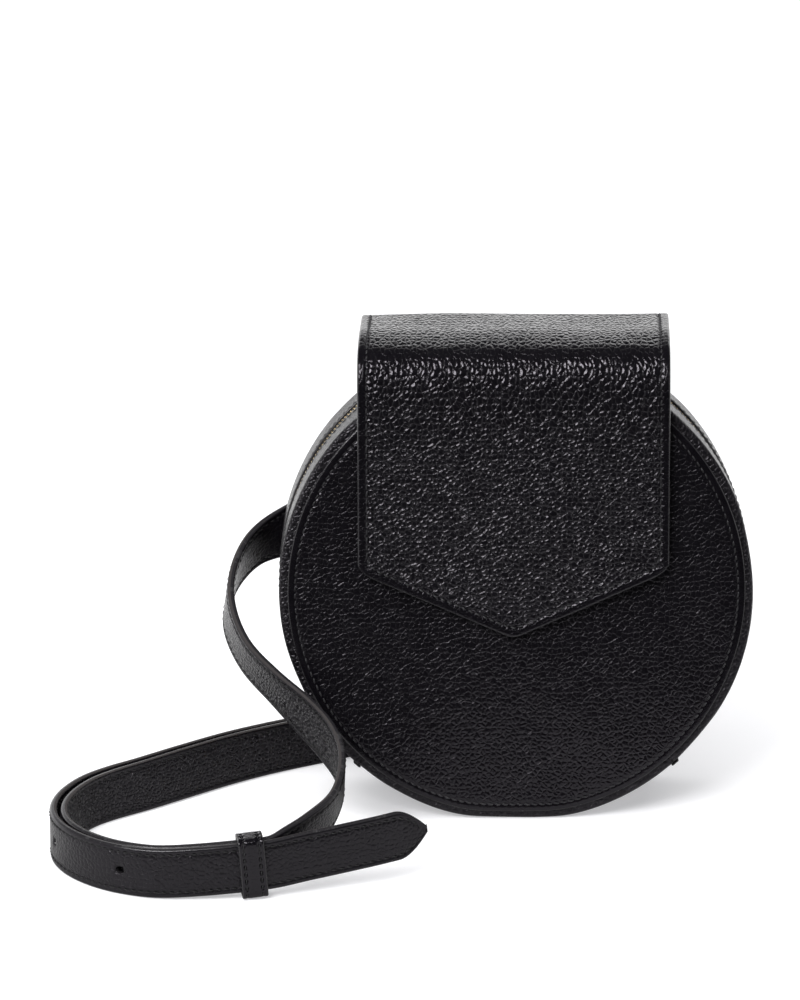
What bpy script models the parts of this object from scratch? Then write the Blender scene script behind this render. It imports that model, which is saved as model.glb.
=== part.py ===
"""A round leather belt bag: two leaning discs joined by a zipped gusset, a cover flap folded over the
top, and a buckled belt whose two straps are sewn to the back and lie on their edges on the floor."""
import math

import bmesh
import bpy
from mathutils import Vector

# Driving sizes of the bag, in metres and radians
BAG_RADIUS = 0.0933
BAG_DEPTH = 0.048
PANEL_LEAN = math.radians(9.5)
GUSSET_DIP = math.radians(5.0)
SOLE_SQUASH = 0.0015
FIT_GAP = 0.0003
PANEL_LEATHER = 0.0014
PANEL_INSET = 0.0033
GUSSET_LEATHER = 0.0012
FLANGE_WIDTH = 0.009
CORNER_RADIUS = 0.0016
LINING = 0.0006
ZIP_END_ANGLE = math.radians(48.0)
RING_STEP = math.radians(4.0)

# Zip
ZIP_WINDOW = 0.010
TEETH_WIDTH = 0.00235
TEETH_HEIGHT = 0.0026
TEETH_SUNK = 0.0005
TEETH_SLOT = 0.0009
TAPE_WIDTH = 0.0075
SLIDER_LENGTH = 0.010
SLIDER_WIDTH = 0.008
SLIDER_PLATE = 0.0008
SLIDER_FLOAT = 0.00055
SLIDER_WEB = 0.0004
SLIDER_WEB_LENGTH = 0.003
SLIDER_ARCH = 0.0028
ARCH_SPAN = 0.0056
ARCH_BAR = 0.0008
ARCH_WIDTH = 0.0018
PULL_LENGTH = 0.0150
PULL_WIDTH = 0.0056
PULL_THICKNESS = 0.0010
PULL_HOLE_WIDTH = 0.0030
PULL_HOLE_LENGTH = 0.0056
PULL_END_BAR = 0.0012
TAB_WIDTH = 0.0034
TAB_THICKNESS = 0.0009

# Flap
FLAP_HALF_WIDTH = 0.061
FLAP_SHIFT = -0.0014
FLAP_TOP_RISE = 0.00395
FLAP_LEATHER = 0.0014
FLAP_LINING = 0.0008
FLAP_STANDOFF = 0.0026
FLAP_CORNER_UP = 0.009
FLAP_POINT_DROP = 0.0265
FLAP_CORNER_ROUND = 0.006
FLAP_FOLD_DROP = 0.0015
FLAP_BEND = 0.0062
FLAP_SEAM_UP = 0.040
LINING_INSET = 0.0008
SNAP_RADIUS = 0.0075
SNAP_THICKNESS = 0.0009
SNAP_UP = -0.002

# Pocket inside
POCKET_RADIUS = 0.070
POCKET_TOP = 0.010

# Belt
STRAP_WIDTH = 0.020
STRAP_THICKNESS = 0.0029
STRAP_PARTING = 0.0004
LINING_TRIM = 0.0005
ANCHOR_UP = 0.016
ANCHOR_REACH = 0.068
STRAP_LEAVES = 0.080
LEAVING_GAP = 0.0012
ANCHOR_LENGTH = 0.030
ANCHOR_LEATHER = 0.0014
ANCHOR_HEM = 0.005
ANCHOR_ROOM = 0.0007
TIP_LENGTH = 0.012
TIP_END_SHARE = 0.10
TIP_FULLNESS = 1.65
TIP_ROW_SHARES = (0.75, 0.5, 0.3, 0.14, 0.05)
HOLE_LENGTH = 0.0042
HOLE_WIDTH = 0.0030
HOLE_PITCH = 0.038
HOLE_COUNT = 8
FRAME_LENGTH = 0.021
FRAME_CLEARANCE = 0.001
FRAME_BAR = 0.0030
FRAME_OUT = 0.0010
FRAME_CORNER = 0.0024
FOLD_GAP = 0.00035
FOLD_TAIL = 0.028
TAIL_SHARES = ((1.0, 0.0), (0.62, 0.0), (0.38, 0.12), (0.20, 0.83))
FOLD_SLOT = 0.0044
PRONG_WIDTH = 0.0028
PRONG_THICKNESS = 0.0013
PRONG_GAP = 0.00035
PRONG_OVERHANG = 0.0018
PRONG_NECK_FOOT = 0.0030
PRONG_NECK_RUN = 0.0033
PRONG_NECK_RISE = 0.0047
KEEPER_LENGTH = 0.010
KEEPER_WALL = 0.0015
KEEPER_PLAY = 0.0012
KEEPER_SLACK = 0.0005
KEEPER_FROM_END = 0.0080
FIXED_KEEPER_PLACE = 0.018
FIXED_KEEPER_LENGTH = 0.007
STRAP_STEP = 0.0065

# The double run of the belt on the floor, from the buckle round the left bend to the loose keeper:
# across, back (from the front disc's centre), lift over the floor, all as shares of the bag's radius;
# then the share of the strap's width by which its top leans out, and the gap between straps in partings
DOUBLE_RUN_SHARES = (
    (-0.193, 0.772, 0.049, 0.00, 1.0),
    (-0.364, 0.713, 0.043, 0.02, 1.0),
    (-0.514, 0.659, 0.026, 0.05, 1.0),
    (-0.665, 0.600, 0.010, 0.08, 1.0),
    (-0.825, 0.532, 0.000, 0.11, 1.0),
    (-1.034, 0.420, 0.000, 0.15, 1.0),
    (-1.222, 0.300, 0.000, 0.21, 1.5),
    (-1.425, 0.141, 0.000, 0.24, 2.0),
    (-1.586, 0.008, 0.000, 0.21, 2.5),
    (-1.715, -0.090, 0.000, 0.14, 3.5),
    (-1.811, -0.185, 0.000, 0.07, 4.0),
    (-1.879, -0.305, 0.000, 0.03, 4.0),
    (-1.913, -0.420, 0.000, 0.00, 3.5),
    (-1.915, -0.530, 0.000, 0.00, 3.0),
    (-1.886, -0.640, 0.000, 0.00, 2.2),
    (-1.820, -0.750, 0.000, 0.00, 1.4),
    (-1.717, -0.847, 0.000, 0.00, 1.0),
    (-1.599, -0.912, 0.001, 0.00, 1.0),
    (-1.481, -0.947, 0.004, 0.00, 1.0),
    (-1.324, -0.955, 0.014, 0.00, 1.2),
    (-1.160, -0.948, 0.026, 0.00, 1.5),
    (-1.025, -0.930, 0.036, 0.00, 1.5),
)

# The loose tip past the keeper: across, back and lift, as shares of the bag's radius
TIP_RUN_SHARES = (
    (-0.900, -0.922, 0.054),
    (-0.792, -0.897, 0.068),
    (-0.600, -0.843, 0.090),
    (-0.455, -0.793, 0.107),
    (-0.392, -0.770, 0.1145),
)

# The buckle strap from the keeper up to the back of the bag: across and back as shares of the bag's
# radius, the share of the bag's depth that it follows, its height as a share of the radius, and the
# way that its width points
RISING_RUN_SHARES = (
    (-0.955, -0.866, 0.00, 0.172, (-0.12, -0.08, 0.99)),
    (-0.880, -0.790, 0.00, 0.210, (-0.08, -0.37, 0.93)),
    (-0.778, -0.663, 0.00, 0.272, (0.04, -0.47, 0.88)),
    (-0.741, -0.495, 0.00, 0.359, (0.03, -0.46, 0.89)),
    (-0.795, -0.355, 0.00, 0.435, (0.18, -0.39, 0.91)),
    (-0.891, -0.233, 0.00, 0.505, (0.18, -0.38, 0.91)),
    (-1.015, -0.157, 0.10, 0.585, (0.09, -0.50, 0.86)),
    (-1.146, -0.121, 0.30, 0.686, (0.09, -0.55, 0.83)),
    (-1.214, -0.058, 0.50, 0.804, (0.13, -0.55, 0.82)),
    (-1.195, -0.003, 0.70, 0.910, (0.05, -0.56, 0.82)),
    (-1.104, 0.029, 0.90, 1.002, (-0.13, -0.47, 0.87)),
    (-0.960, 0.046, 1.00, 1.056, (-0.15, 0.02, 0.99)),
)

# The other strap from the back of the bag, round behind it and down to the buckle
FALLING_RUN_SHARES = (
    (0.925, 0.105, 1.00, 1.060, (-0.16, 0.36, 0.92)),
    (0.955, 0.190, 1.00, 1.015, (-0.34, 0.52, 0.78)),
    (0.935, 0.300, 1.00, 0.950, (-0.47, 0.56, 0.68)),
    (0.890, 0.425, 1.00, 0.870, (-0.56, 0.54, 0.62)),
    (0.840, 0.560, 1.00, 0.740, (-0.62, 0.50, 0.60)),
    (0.795, 0.670, 1.00, 0.600, (-0.62, 0.51, 0.60)),
    (0.715, 0.740, 1.00, 0.460, (-0.60, 0.54, 0.59)),
    (0.610, 0.765, 1.00, 0.335, (-0.55, 0.57, 0.61)),
    (0.490, 0.730, 1.00, 0.240, (-0.45, 0.52, 0.72)),
    (0.375, 0.640, 1.00, 0.180, (-0.30, 0.38, 0.87)),
    (0.270, 0.520, 1.00, 0.158, (-0.14, 0.20, 0.97)),
    (0.170, 0.410, 1.00, 0.156, (-0.04, 0.05, 1.00)),
)

# How finely the curves are cut, and the shares by which corners are taken off
SHARP_ANGLE = math.radians(35.0)
ROW_TURN = math.radians(9.0)
RING_TOLERANCE = 1e-6
SPLINE_STEPS = 12
FLAP_BEND_STEPS = 6
FOLD_STEPS = 8
HOOK_STEPS = 7
HOOK_START = math.radians(-150.0)
HOOK_TURN = math.radians(240.0)
SNAP_SIDES = 20
FRAME_SIDES = 8
FRAME_CORNER_STEPS = 3
FLANGE_CUT_SHARE = 0.3
HEM_CUT_SHARE = 0.6
KEEPER_CUT_SHARE = 0.4
FRONT_COLUMN_SHARES = (-1.0, -0.985, -0.94, -0.88, -0.5, -0.05, 0.0, 0.05, 0.5, 0.88, 0.94, 0.985, 1.0)
FRONT_ROW_SHARES = (0.0, 0.5, 1.0)

UP = Vector((0.0, 0.0, 1.0))
CENTRE_HEIGHT = BAG_RADIUS * math.cos(PANEL_LEAN) - SOLE_SQUASH
ZIP_CENTRE = BAG_DEPTH / 2
FLANGE_FACE = PANEL_LEATHER + FIT_GAP
WALL_START = FLANGE_FACE + GUSSET_LEATHER
FLAP_TOTAL = FLAP_LEATHER + FIT_GAP + FLAP_LINING
FLAP_FRONT = -FLAP_STANDOFF - FLAP_TOTAL
FLAP_BACK = BAG_DEPTH + FIT_GAP + FLAP_TOTAL
FLAP_SHOULDER = BAG_RADIUS + FLAP_TOP_RISE + FLAP_TOTAL - FLAP_BEND
FLAP_FOLD_UP = FLAP_SHOULDER - FLAP_FOLD_DROP
SLIDER_ANGLE = (
    math.pi + ZIP_END_ANGLE
    - (TAB_WIDTH / 2 + SLIDER_LENGTH / 2 + FIT_GAP) / BAG_RADIUS
)


def base_back(depth):
    """How far back of the front disc's centre the bag meets the floor at this depth."""
    up = (CENTRE_HEIGHT - depth * math.sin(GUSSET_DIP)) / math.cos(PANEL_LEAN)
    return depth * math.cos(GUSSET_DIP) - up * math.sin(PANEL_LEAN)


ORIGIN_BACK = base_back(BAG_DEPTH / 2)


def place(x, back, height):
    """A point of the row: back is measured from the front disc's centre, the origin is at the sole."""
    return Vector((x, back - ORIGIN_BACK, height))


def in_bag(x, depth, up):
    """A point of the bag: depth behind the front panel's face, up along the leaning panel."""
    back = depth * math.cos(GUSSET_DIP) + up * math.sin(PANEL_LEAN)
    height = CENTRE_HEIGHT - depth * math.sin(GUSSET_DIP) + up * math.cos(PANEL_LEAN)
    return place(x, back, height)


def outline(angle, depth):
    """The gusset's outer radius: round, and cut straight by the floor under it."""
    drop = -math.sin(angle) * math.cos(PANEL_LEAN)
    if drop <= 0:
        return BAG_RADIUS
    return min(BAG_RADIUS, (CENTRE_HEIGHT - depth * math.sin(GUSSET_DIP)) / drop)


def on_ring(angle, depth, inset):
    """A point this far inside the gusset's outer face."""
    radius = outline(angle, depth) - inset
    return in_bag(radius * math.cos(angle), depth, radius * math.sin(angle))


def clear_scene():
    for old in list(bpy.data.objects):
        bpy.data.objects.remove(old, do_unlink=True)


def material(name, colour, roughness, metallic=0.0):
    made = bpy.data.materials.new(name)
    made.use_nodes = True
    shader = made.node_tree.nodes["Principled BSDF"]
    shader.inputs["Base Color"].default_value = (*colour, 1.0)
    shader.inputs["Roughness"].default_value = roughness
    shader.inputs["Metallic"].default_value = metallic
    made.diffuse_color = (*colour, 1.0)
    return made


def finished(name, bm, skin, origin=None, sharp=SHARP_ANGLE):
    """Closes up the mesh as an object, with its origin on its joint where it has one."""
    loose = [v for v in bm.verts if not v.link_faces]
    bmesh.ops.delete(bm, geom=loose, context="VERTS")
    bmesh.ops.recalc_face_normals(bm, faces=bm.faces)
    if origin is not None:
        bmesh.ops.translate(bm, vec=-origin, verts=bm.verts)
    mesh = bpy.data.meshes.new(name)
    bm.to_mesh(mesh)
    bm.free()
    mesh.shade_smooth()
    mesh.set_sharp_from_angle(angle=sharp)
    mesh.materials.append(skin)
    made = bpy.data.objects.new(name, mesh)
    if origin is not None:
        made.location = origin
    bpy.context.scene.collection.objects.link(made)
    return made


def grid_solid(name, outer, inner, skin, wrap=False, holes=(), origin=None):
    """The closed solid between two grids of points, [row][column], less the cells in holes. Both sides
    are cut into triangles the same way, so thin layers that twist together stay apart."""
    bm = bmesh.new()
    tops = [[bm.verts.new(p) for p in row] for row in outer]
    lows = [[bm.verts.new(p) for p in row] for row in inner]
    rows = len(outer) if wrap else len(outer) - 1
    columns = len(outer[0]) - 1
    count = len(outer)
    cut = set(holes)

    def solid(i, j):
        if wrap:
            i %= count
        return 0 <= i < rows and 0 <= j < columns and (i, j) not in cut

    for i in range(rows):
        k = (i + 1) % count
        for j in range(columns):
            if not solid(i, j):
                continue
            for side in (tops, lows):
                bm.faces.new((side[i][j], side[k][j], side[k][j + 1]))
                bm.faces.new((side[i][j], side[k][j + 1], side[i][j + 1]))
            if not solid(i - 1, j):
                bm.faces.new((tops[i][j], tops[i][j + 1], lows[i][j + 1], lows[i][j]))
            if not solid(i + 1, j):
                bm.faces.new((tops[k][j + 1], tops[k][j], lows[k][j], lows[k][j + 1]))
            if not solid(i, j - 1):
                bm.faces.new((tops[k][j], tops[i][j], lows[i][j], lows[k][j]))
            if not solid(i, j + 1):
                bm.faces.new((tops[i][j + 1], tops[k][j + 1], lows[k][j + 1], lows[i][j + 1]))
    return finished(name, bm, skin, origin)


def ring_angles(start, end):
    """Angles from start to end on the ring's common steps, with both ends kept."""
    first = math.floor(start / RING_STEP + RING_TOLERANCE) + 1
    last = math.ceil(end / RING_STEP - RING_TOLERANCE) - 1
    return [start] + [k * RING_STEP for k in range(first, last + 1)] + [end]


def ring_solid(name, section, skin, start=None, end=None):
    """Sweeps a closed section of (depth, inset) points round the bag, or part of the way."""
    bm = bmesh.new()
    whole = start is None
    if whole:
        angles = [k * RING_STEP for k in range(round(2 * math.pi / RING_STEP))]
    else:
        angles = ring_angles(start, end)
    loops = [[bm.verts.new(on_ring(a, d, i)) for d, i in section] for a in angles]
    pairs = list(zip(loops, loops[1:]))
    if whole:
        pairs.append((loops[-1], loops[0]))
    size = len(section)
    for here, there in pairs:
        for j in range(size):
            k = (j + 1) % size
            bm.faces.new((here[j], there[j], there[k], here[k]))
    if not whole:
        bm.faces.new(loops[0])
        bm.faces.new(list(reversed(loops[-1])))
    return finished(name, bm, skin)


def plate(name, rim, near, far, skin, origin=None):
    """A flat plate in the bag: rim is (across, up) points, near and far are depths."""
    bm = bmesh.new()
    front = [bm.verts.new(in_bag(x, near, up)) for x, up in rim]
    back = [bm.verts.new(in_bag(x, far, up)) for x, up in rim]
    count = len(rim)
    for j in range(count):
        k = (j + 1) % count
        bm.faces.new((front[j], back[j], back[k], front[k]))
    bm.faces.new(list(reversed(front)))
    bm.faces.new(back)
    return finished(name, bm, skin, origin)


def disc(name, near, far, inset, skin):
    """A round panel that follows the gusset's outline, at the given depths."""
    bm = bmesh.new()
    angles = [k * RING_STEP for k in range(round(2 * math.pi / RING_STEP))]
    front = [bm.verts.new(on_ring(a, near, inset)) for a in angles]
    back = [bm.verts.new(on_ring(a, far, inset)) for a in angles]
    count = len(angles)
    for j in range(count):
        k = (j + 1) % count
        bm.faces.new((front[j], back[j], back[k], front[k]))
    bm.faces.new(list(reversed(front)))
    bm.faces.new(back)
    return finished(name, bm, skin)


def build_panels(skins):
    disc("front_panel", 0.0, PANEL_LEATHER, PANEL_INSET, skins["leather"])
    disc("back_panel", BAG_DEPTH - PANEL_LEATHER, BAG_DEPTH, PANEL_INSET, skins["leather"])
    inset = GUSSET_LEATHER + FIT_GAP
    near = WALL_START + FIT_GAP
    disc("front_lining", near, near + LINING, inset, skins["lining"])
    disc("back_lining", BAG_DEPTH - near - LINING, BAG_DEPTH - near, inset, skins["lining"])
    rim = []
    steps = round(math.pi / (2 * RING_STEP))
    tilt = math.asin(POCKET_TOP / POCKET_RADIUS)
    for k in range(-steps, steps + 1):
        angle = -math.pi / 2 + (math.pi / 2 + tilt) * k / steps
        rim.append((POCKET_RADIUS * math.cos(angle), POCKET_RADIUS * math.sin(angle)))
    far = BAG_DEPTH - near - LINING - FIT_GAP
    plate("slip_pocket", rim, far - LINING, far, skins["lining"])


def flange_section(reach):
    """The front strip of the zip gusset: a flange behind the panel, turned back to this depth."""
    flange = PANEL_INSET + FLANGE_WIDTH
    step = CORNER_RADIUS * FLANGE_CUT_SHARE
    return [
        (FLANGE_FACE, flange),
        (FLANGE_FACE, CORNER_RADIUS),
        (FLANGE_FACE + step, step),
        (FLANGE_FACE + CORNER_RADIUS, 0.0),
        (reach, 0.0),
        (reach, GUSSET_LEATHER),
        (WALL_START + step, GUSSET_LEATHER),
        (WALL_START, GUSSET_LEATHER + step),
        (WALL_START, flange),
    ]


def mirrored(section):
    return [(BAG_DEPTH - depth, inset) for depth, inset in reversed(section)]


def build_gusset(skins):
    edge = ZIP_CENTRE - ZIP_WINDOW / 2
    start = -ZIP_END_ANGLE
    end = math.pi + ZIP_END_ANGLE
    strip = flange_section(edge)
    ring_solid("zip_gusset_front", strip, skins["leather"], start, end)
    ring_solid("zip_gusset_back", mirrored(strip), skins["leather"], start, end)

    seam = FIT_GAP / BAG_RADIUS
    half = flange_section(ZIP_CENTRE)
    whole = half[:4] + mirrored(half[:4]) + mirrored(half[6:]) + half[6:]
    ring_solid("bottom_gusset", whole, skins["leather"], end + seam, 2 * math.pi + start - seam)

    tab_half = TAB_WIDTH / 2 / BAG_RADIUS
    near = FLANGE_FACE + CORNER_RADIUS
    tab = [(near, -FIT_GAP), (near, -FIT_GAP - TAB_THICKNESS)]
    tab += [(BAG_DEPTH - near, -FIT_GAP - TAB_THICKNESS), (BAG_DEPTH - near, -FIT_GAP)]
    for side, angle in (("left", end), ("right", 2 * math.pi + start)):
        ring_solid("gusset_tab_" + side, tab, skins["leather"], angle - tab_half, angle + tab_half)

    wall = GUSSET_LEATHER + FIT_GAP
    tape_end = ZIP_CENTRE - TEETH_SLOT / 2 - TEETH_WIDTH - FIT_GAP
    tape = [(tape_end - TAPE_WIDTH, wall), (tape_end, wall)]
    tape += [(tape_end, wall + LINING), (tape_end - TAPE_WIDTH, wall + LINING)]
    teeth = [(tape_end + FIT_GAP, TEETH_SUNK), (tape_end + FIT_GAP + TEETH_WIDTH, TEETH_SUNK)]
    teeth += [(depth, inset + TEETH_HEIGHT) for depth, inset in reversed(teeth)]
    first = start + seam
    last = end - seam
    ring_solid("zip_tape_front", tape, skins["tape"], first, last)
    ring_solid("zip_tape_back", mirrored(tape), skins["tape"], first, last)
    ring_solid("zip_teeth_front", teeth, skins["gold"], first, last)
    ring_solid("zip_teeth_back", mirrored(teeth), skins["gold"], first, last)

    near = WALL_START + LINING + 2 * FIT_GAP
    depths = (near, edge - FIT_GAP, BAG_DEPTH - edge + FIT_GAP, BAG_DEPTH - near)
    count = round(2 * math.pi / RING_STEP)
    window = []
    for k in range(count):
        middle = (k + 0.5) * RING_STEP
        if middle > 2 * math.pi - ZIP_END_ANGLE or middle < math.pi + ZIP_END_ANGLE:
            window.append((k, 1))
    face = wall + LINING + FIT_GAP
    shells = []
    for inset in (face, face + LINING):
        shells.append([[on_ring(k * RING_STEP, d, inset) for d in depths] for k in range(count)])
    grid_solid("gusset_lining", *shells, skins["lining"], wrap=True, holes=window)


def ring_frame(angle):
    """Centre of the zip line at this angle, with its radial, tangent and axis directions."""
    lean_up = Vector((0, math.sin(PANEL_LEAN), math.cos(PANEL_LEAN)))
    radial = Vector((math.cos(angle), 0, 0)) + math.sin(angle) * lean_up
    tangent = Vector((math.sin(angle), 0, 0)) - math.cos(angle) * lean_up
    axis = Vector((0, math.cos(PANEL_LEAN), -math.sin(PANEL_LEAN)))
    return in_bag(0.0, ZIP_CENTRE, 0.0), radial, tangent, axis


def block(bm, centre, sides, half):
    """A box added to bm, with its three side directions and half lengths."""
    corners = {}
    for a in (-1, 1):
        for b in (-1, 1):
            for c in (-1, 1):
                shift = a * half[0] * sides[0] + b * half[1] * sides[1] + c * half[2] * sides[2]
                corners[a, b, c] = bm.verts.new(centre + shift)
    for axis in range(3):
        for end in (-1, 1):
            loop = []
            for p, q in ((-1, -1), (1, -1), (1, 1), (-1, 1)):
                key = [p, q]
                key.insert(axis, end)
                loop.append(corners[tuple(key)])
            bm.faces.new(loop)


def fused(name, blocks, skin, origin):
    """One solid from several boxes, joined by exact unions."""
    made = None
    for index, (centre, sides, half) in enumerate(blocks):
        bm = bmesh.new()
        block(bm, centre, sides, half)
        label = name if made is None else name + "_piece_" + str(index)
        piece = finished(label, bm, skin, origin)
        if made is None:
            made = piece
            continue
        piece.hide_render = True
        piece.display_type = "WIRE"
        join = made.modifiers.new("join", "BOOLEAN")
        join.operation = "UNION"
        join.solver = "EXACT"
        join.object = piece
    return made


def build_slider(skins):
    centre, radial, tangent, axis = ring_frame(SLIDER_ANGLE)
    sides = (tangent, axis, radial)
    teeth_top = BAG_RADIUS - TEETH_SUNK
    low_top = teeth_top - TEETH_HEIGHT - SLIDER_FLOAT
    top_low = teeth_top + SLIDER_FLOAT
    top = top_low + SLIDER_PLATE
    half_length = SLIDER_LENGTH / 2
    half_width = SLIDER_WIDTH / 2
    half_plate = SLIDER_PLATE / 2
    foot = ARCH_SPAN / 2 - ARCH_BAR / 2
    arch_half = SLIDER_ARCH / 2
    web_half = (top_low - low_top) / 2 + half_plate
    blocks = [
        (centre + (top_low + half_plate) * radial, sides, (half_length, half_width, half_plate)),
        (centre + (low_top - half_plate) * radial, sides, (half_length, half_width, half_plate)),
        (
            centre + (top_low + low_top) / 2 * radial,
            sides,
            (SLIDER_WEB_LENGTH / 2, SLIDER_WEB / 2, web_half),
        ),
    ]
    for way in (-1, 1):
        at = centre + (top + arch_half - half_plate / 2) * radial + way * foot * tangent
        blocks.append((at, sides, (ARCH_BAR / 2, ARCH_WIDTH / 2, arch_half + half_plate / 2)))
    bridge = centre + (top + SLIDER_ARCH - ARCH_BAR / 2) * radial
    blocks.append((bridge, sides, (ARCH_SPAN / 2, ARCH_WIDTH / 2, ARCH_BAR / 2)))
    fused("zip_slider", blocks, skins["gold"], in_bag(0.0, ZIP_CENTRE, 0.0))

    pivot = centre + (top + (SLIDER_ARCH - ARCH_BAR) / 2) * radial
    along = (
        -PULL_END_BAR / 2,
        PULL_END_BAR / 2,
        PULL_END_BAR / 2 + PULL_HOLE_LENGTH,
        PULL_LENGTH - PULL_WIDTH / 2,
        PULL_LENGTH,
    )
    halves = (PULL_WIDTH / 2, PULL_WIDTH / 2, PULL_WIDTH / 2, PULL_WIDTH / 2, PULL_WIDTH / 4)
    hole = PULL_HOLE_WIDTH / 2
    faces = []
    for level in (1, -1):
        rows = []
        for run, half in zip(along, halves):
            across = (-half, -min(hole, half / 2), min(hole, half / 2), half)
            rows.append(
                [
                    pivot + run * tangent + a * axis + level * PULL_THICKNESS / 2 * radial
                    for a in across
                ]
            )
        faces.append(rows)
    grid_solid("zip_pull", *faces, skins["gold"], holes=((1, 1),), origin=pivot)


def over_line(by):
    """The flap's section from the rear fold over the top to the front fold, this far inside its outer
    side, as (depth, up) points."""
    bend = FLAP_BEND - by
    points = []
    for start, hub in ((0.0, FLAP_BACK - FLAP_BEND), (math.pi / 2, FLAP_FRONT + FLAP_BEND)):
        for k in range(FLAP_BEND_STEPS + 1):
            turn = start + math.pi / 2 * k / FLAP_BEND_STEPS
            points.append((hub + bend * math.cos(turn), FLAP_SHOULDER + bend * math.sin(turn)))
    return points + [(FLAP_FRONT + by, FLAP_FOLD_UP)]


def flap_sheet(name, lines, half, skin, origin=None):
    """A sheet across the flap between two lines of (depth, up) points."""
    shells = []
    for line in lines:
        shells.append(
            [[in_bag(FLAP_SHIFT + side * half, depth, up) for side in (-1, 1)] for depth, up in line]
        )
    return grid_solid(name, *shells, skin, origin=origin)


def hem_up(x, half, inset):
    """The height of the flap's pointed hem at this distance from its middle line."""
    slope = FLAP_POINT_DROP / FLAP_HALF_WIDTH
    point = FLAP_CORNER_UP - FLAP_POINT_DROP + inset * math.hypot(1.0, slope)
    up = point + abs(x) * slope
    tip = FLAP_CORNER_ROUND / 2
    if abs(x) < tip:
        up = point + slope * (x * x / tip + tip) / 2
    from_side = half - abs(x)
    if from_side < FLAP_CORNER_ROUND:
        reach = 1.0 - from_side / FLAP_CORNER_ROUND
        up += FLAP_CORNER_ROUND * (1.0 - math.sqrt(1.0 - reach * reach)) * HEM_CUT_SHARE
    return up


def front_sheet(name, top, near, far, half, inset, skin, origin):
    """The hanging front of the flap, from the fold down to its pointed hem."""
    shells = []
    for depth in (near, far):
        rows = []
        for step in FRONT_ROW_SHARES:
            row = []
            for share in FRONT_COLUMN_SHARES:
                x = share * half
                up = top + (hem_up(x, half, inset) - top) * step
                row.append(in_bag(FLAP_SHIFT + x, depth, up))
            rows.append(row)
        shells.append(rows)
    return grid_solid(name, *shells, skin, origin=origin)


def build_flap(skins):
    near = FLAP_LEATHER + FIT_GAP
    half = FLAP_HALF_WIDTH
    trim = half - LINING_INSET
    rear_fold = in_bag(FLAP_SHIFT, FLAP_BACK, FLAP_SHOULDER)
    front_fold = in_bag(FLAP_SHIFT, FLAP_FRONT, FLAP_FOLD_UP)
    sheets = (
        ("", 0.0, FLAP_LEATHER, half, 0.0, skins["leather"]),
        ("_lining", near, FLAP_TOTAL, trim, LINING_INSET, skins["lining"]),
    )
    for ending, outer, inner, reach, inset, skin in sheets:
        seam = []
        for by in (outer, inner):
            depth = FLAP_BACK - by
            seam.append([(depth, FLAP_SEAM_UP + inset), (depth, FLAP_SHOULDER - FIT_GAP)])
        flap_sheet("flap_back" + ending, seam, reach, skin)
        over = (over_line(outer), over_line(inner))
        flap_sheet("flap_top" + ending, over, reach, skin, rear_fold)
        faces = (FLAP_FRONT + outer, FLAP_FRONT + inner)
        front_sheet(
            "flap_front" + ending, FLAP_FOLD_UP - FIT_GAP, *faces, reach, inset, skin, front_fold
        )

    rim = []
    for k in range(SNAP_SIDES):
        turn = 2 * math.pi * k / SNAP_SIDES
        across = FLAP_SHIFT + SNAP_RADIUS * math.cos(turn)
        rim.append((across, SNAP_UP + SNAP_RADIUS * math.sin(turn)))
    plate("snap_socket", rim, -FIT_GAP - SNAP_THICKNESS, -FIT_GAP, skins["steel"])
    stud_back = -2 * FIT_GAP - SNAP_THICKNESS
    plate("snap_stud", rim, FIT_GAP - FLAP_STANDOFF, stud_back, skins["steel"], front_fold)


def spline(points):
    """A smooth line through points of any width."""
    padded = [[2 * a - b for a, b in zip(points[0], points[1])]]
    padded += [list(p) for p in points]
    padded.append([2 * a - b for a, b in zip(points[-1], points[-2])])
    line = []
    for k in range(1, len(padded) - 2):
        for step in range(SPLINE_STEPS):
            t = step / SPLINE_STEPS
            value = []
            for a, b, c, d in zip(*padded[k - 1:k + 3]):
                bend = 2 * a - 5 * b + 4 * c - d
                twist = 3 * b - a - 3 * c + d
                value.append((2 * b + (c - a) * t + bend * t * t + twist * t ** 3) / 2)
            line.append(value)
    line.append(list(points[-1]))
    return line


def even_rows(points, step):
    """Rows (centre, width direction) along the smooth line, about one step apart and closer in bends."""
    fine = spline(points)
    rows = [fine[0]]
    gone = 0.0
    turned = 0.0
    for k in range(1, len(fine)):
        here = Vector(fine[k][:3])
        last = Vector(fine[k - 1][:3])
        gone += (here - last).length
        if k + 1 < len(fine):
            ahead = Vector(fine[k + 1][:3]) - here
            turned += (here - last).angle(ahead, 0.0)
        if gone >= step or turned > ROW_TURN or k + 1 == len(fine):
            rows.append(fine[k])
            gone = 0.0
            turned = 0.0
    return [(Vector(r[:3]), Vector(r[3:6])) for r in rows]


def framed(rows):
    """Adds each row's outward direction and squares its width direction to the run."""
    out = []
    for k, (centre, width) in enumerate(rows):
        before = rows[max(k - 1, 0)][0]
        after = rows[min(k + 1, len(rows) - 1)][0]
        run = (after - before).normalized()
        width = (width - width.dot(run) * run).normalized()
        out.append((centre, run, width, run.cross(width)))
    return out


def run_lengths(rows):
    lengths = [0.0]
    for here, there in zip(rows, rows[1:]):
        lengths.append(lengths[-1] + (there[0] - here[0]).length)
    return lengths


def row_at(rows, lengths, mark):
    """The number and the place of a new row at this distance along the strap."""
    k = next(i for i, length in enumerate(lengths) if length > mark)
    share = (mark - lengths[k - 1]) / (lengths[k] - lengths[k - 1])
    return k, tuple(p.lerp(q, share) for p, q in zip(rows[k - 1], rows[k]))


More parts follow.
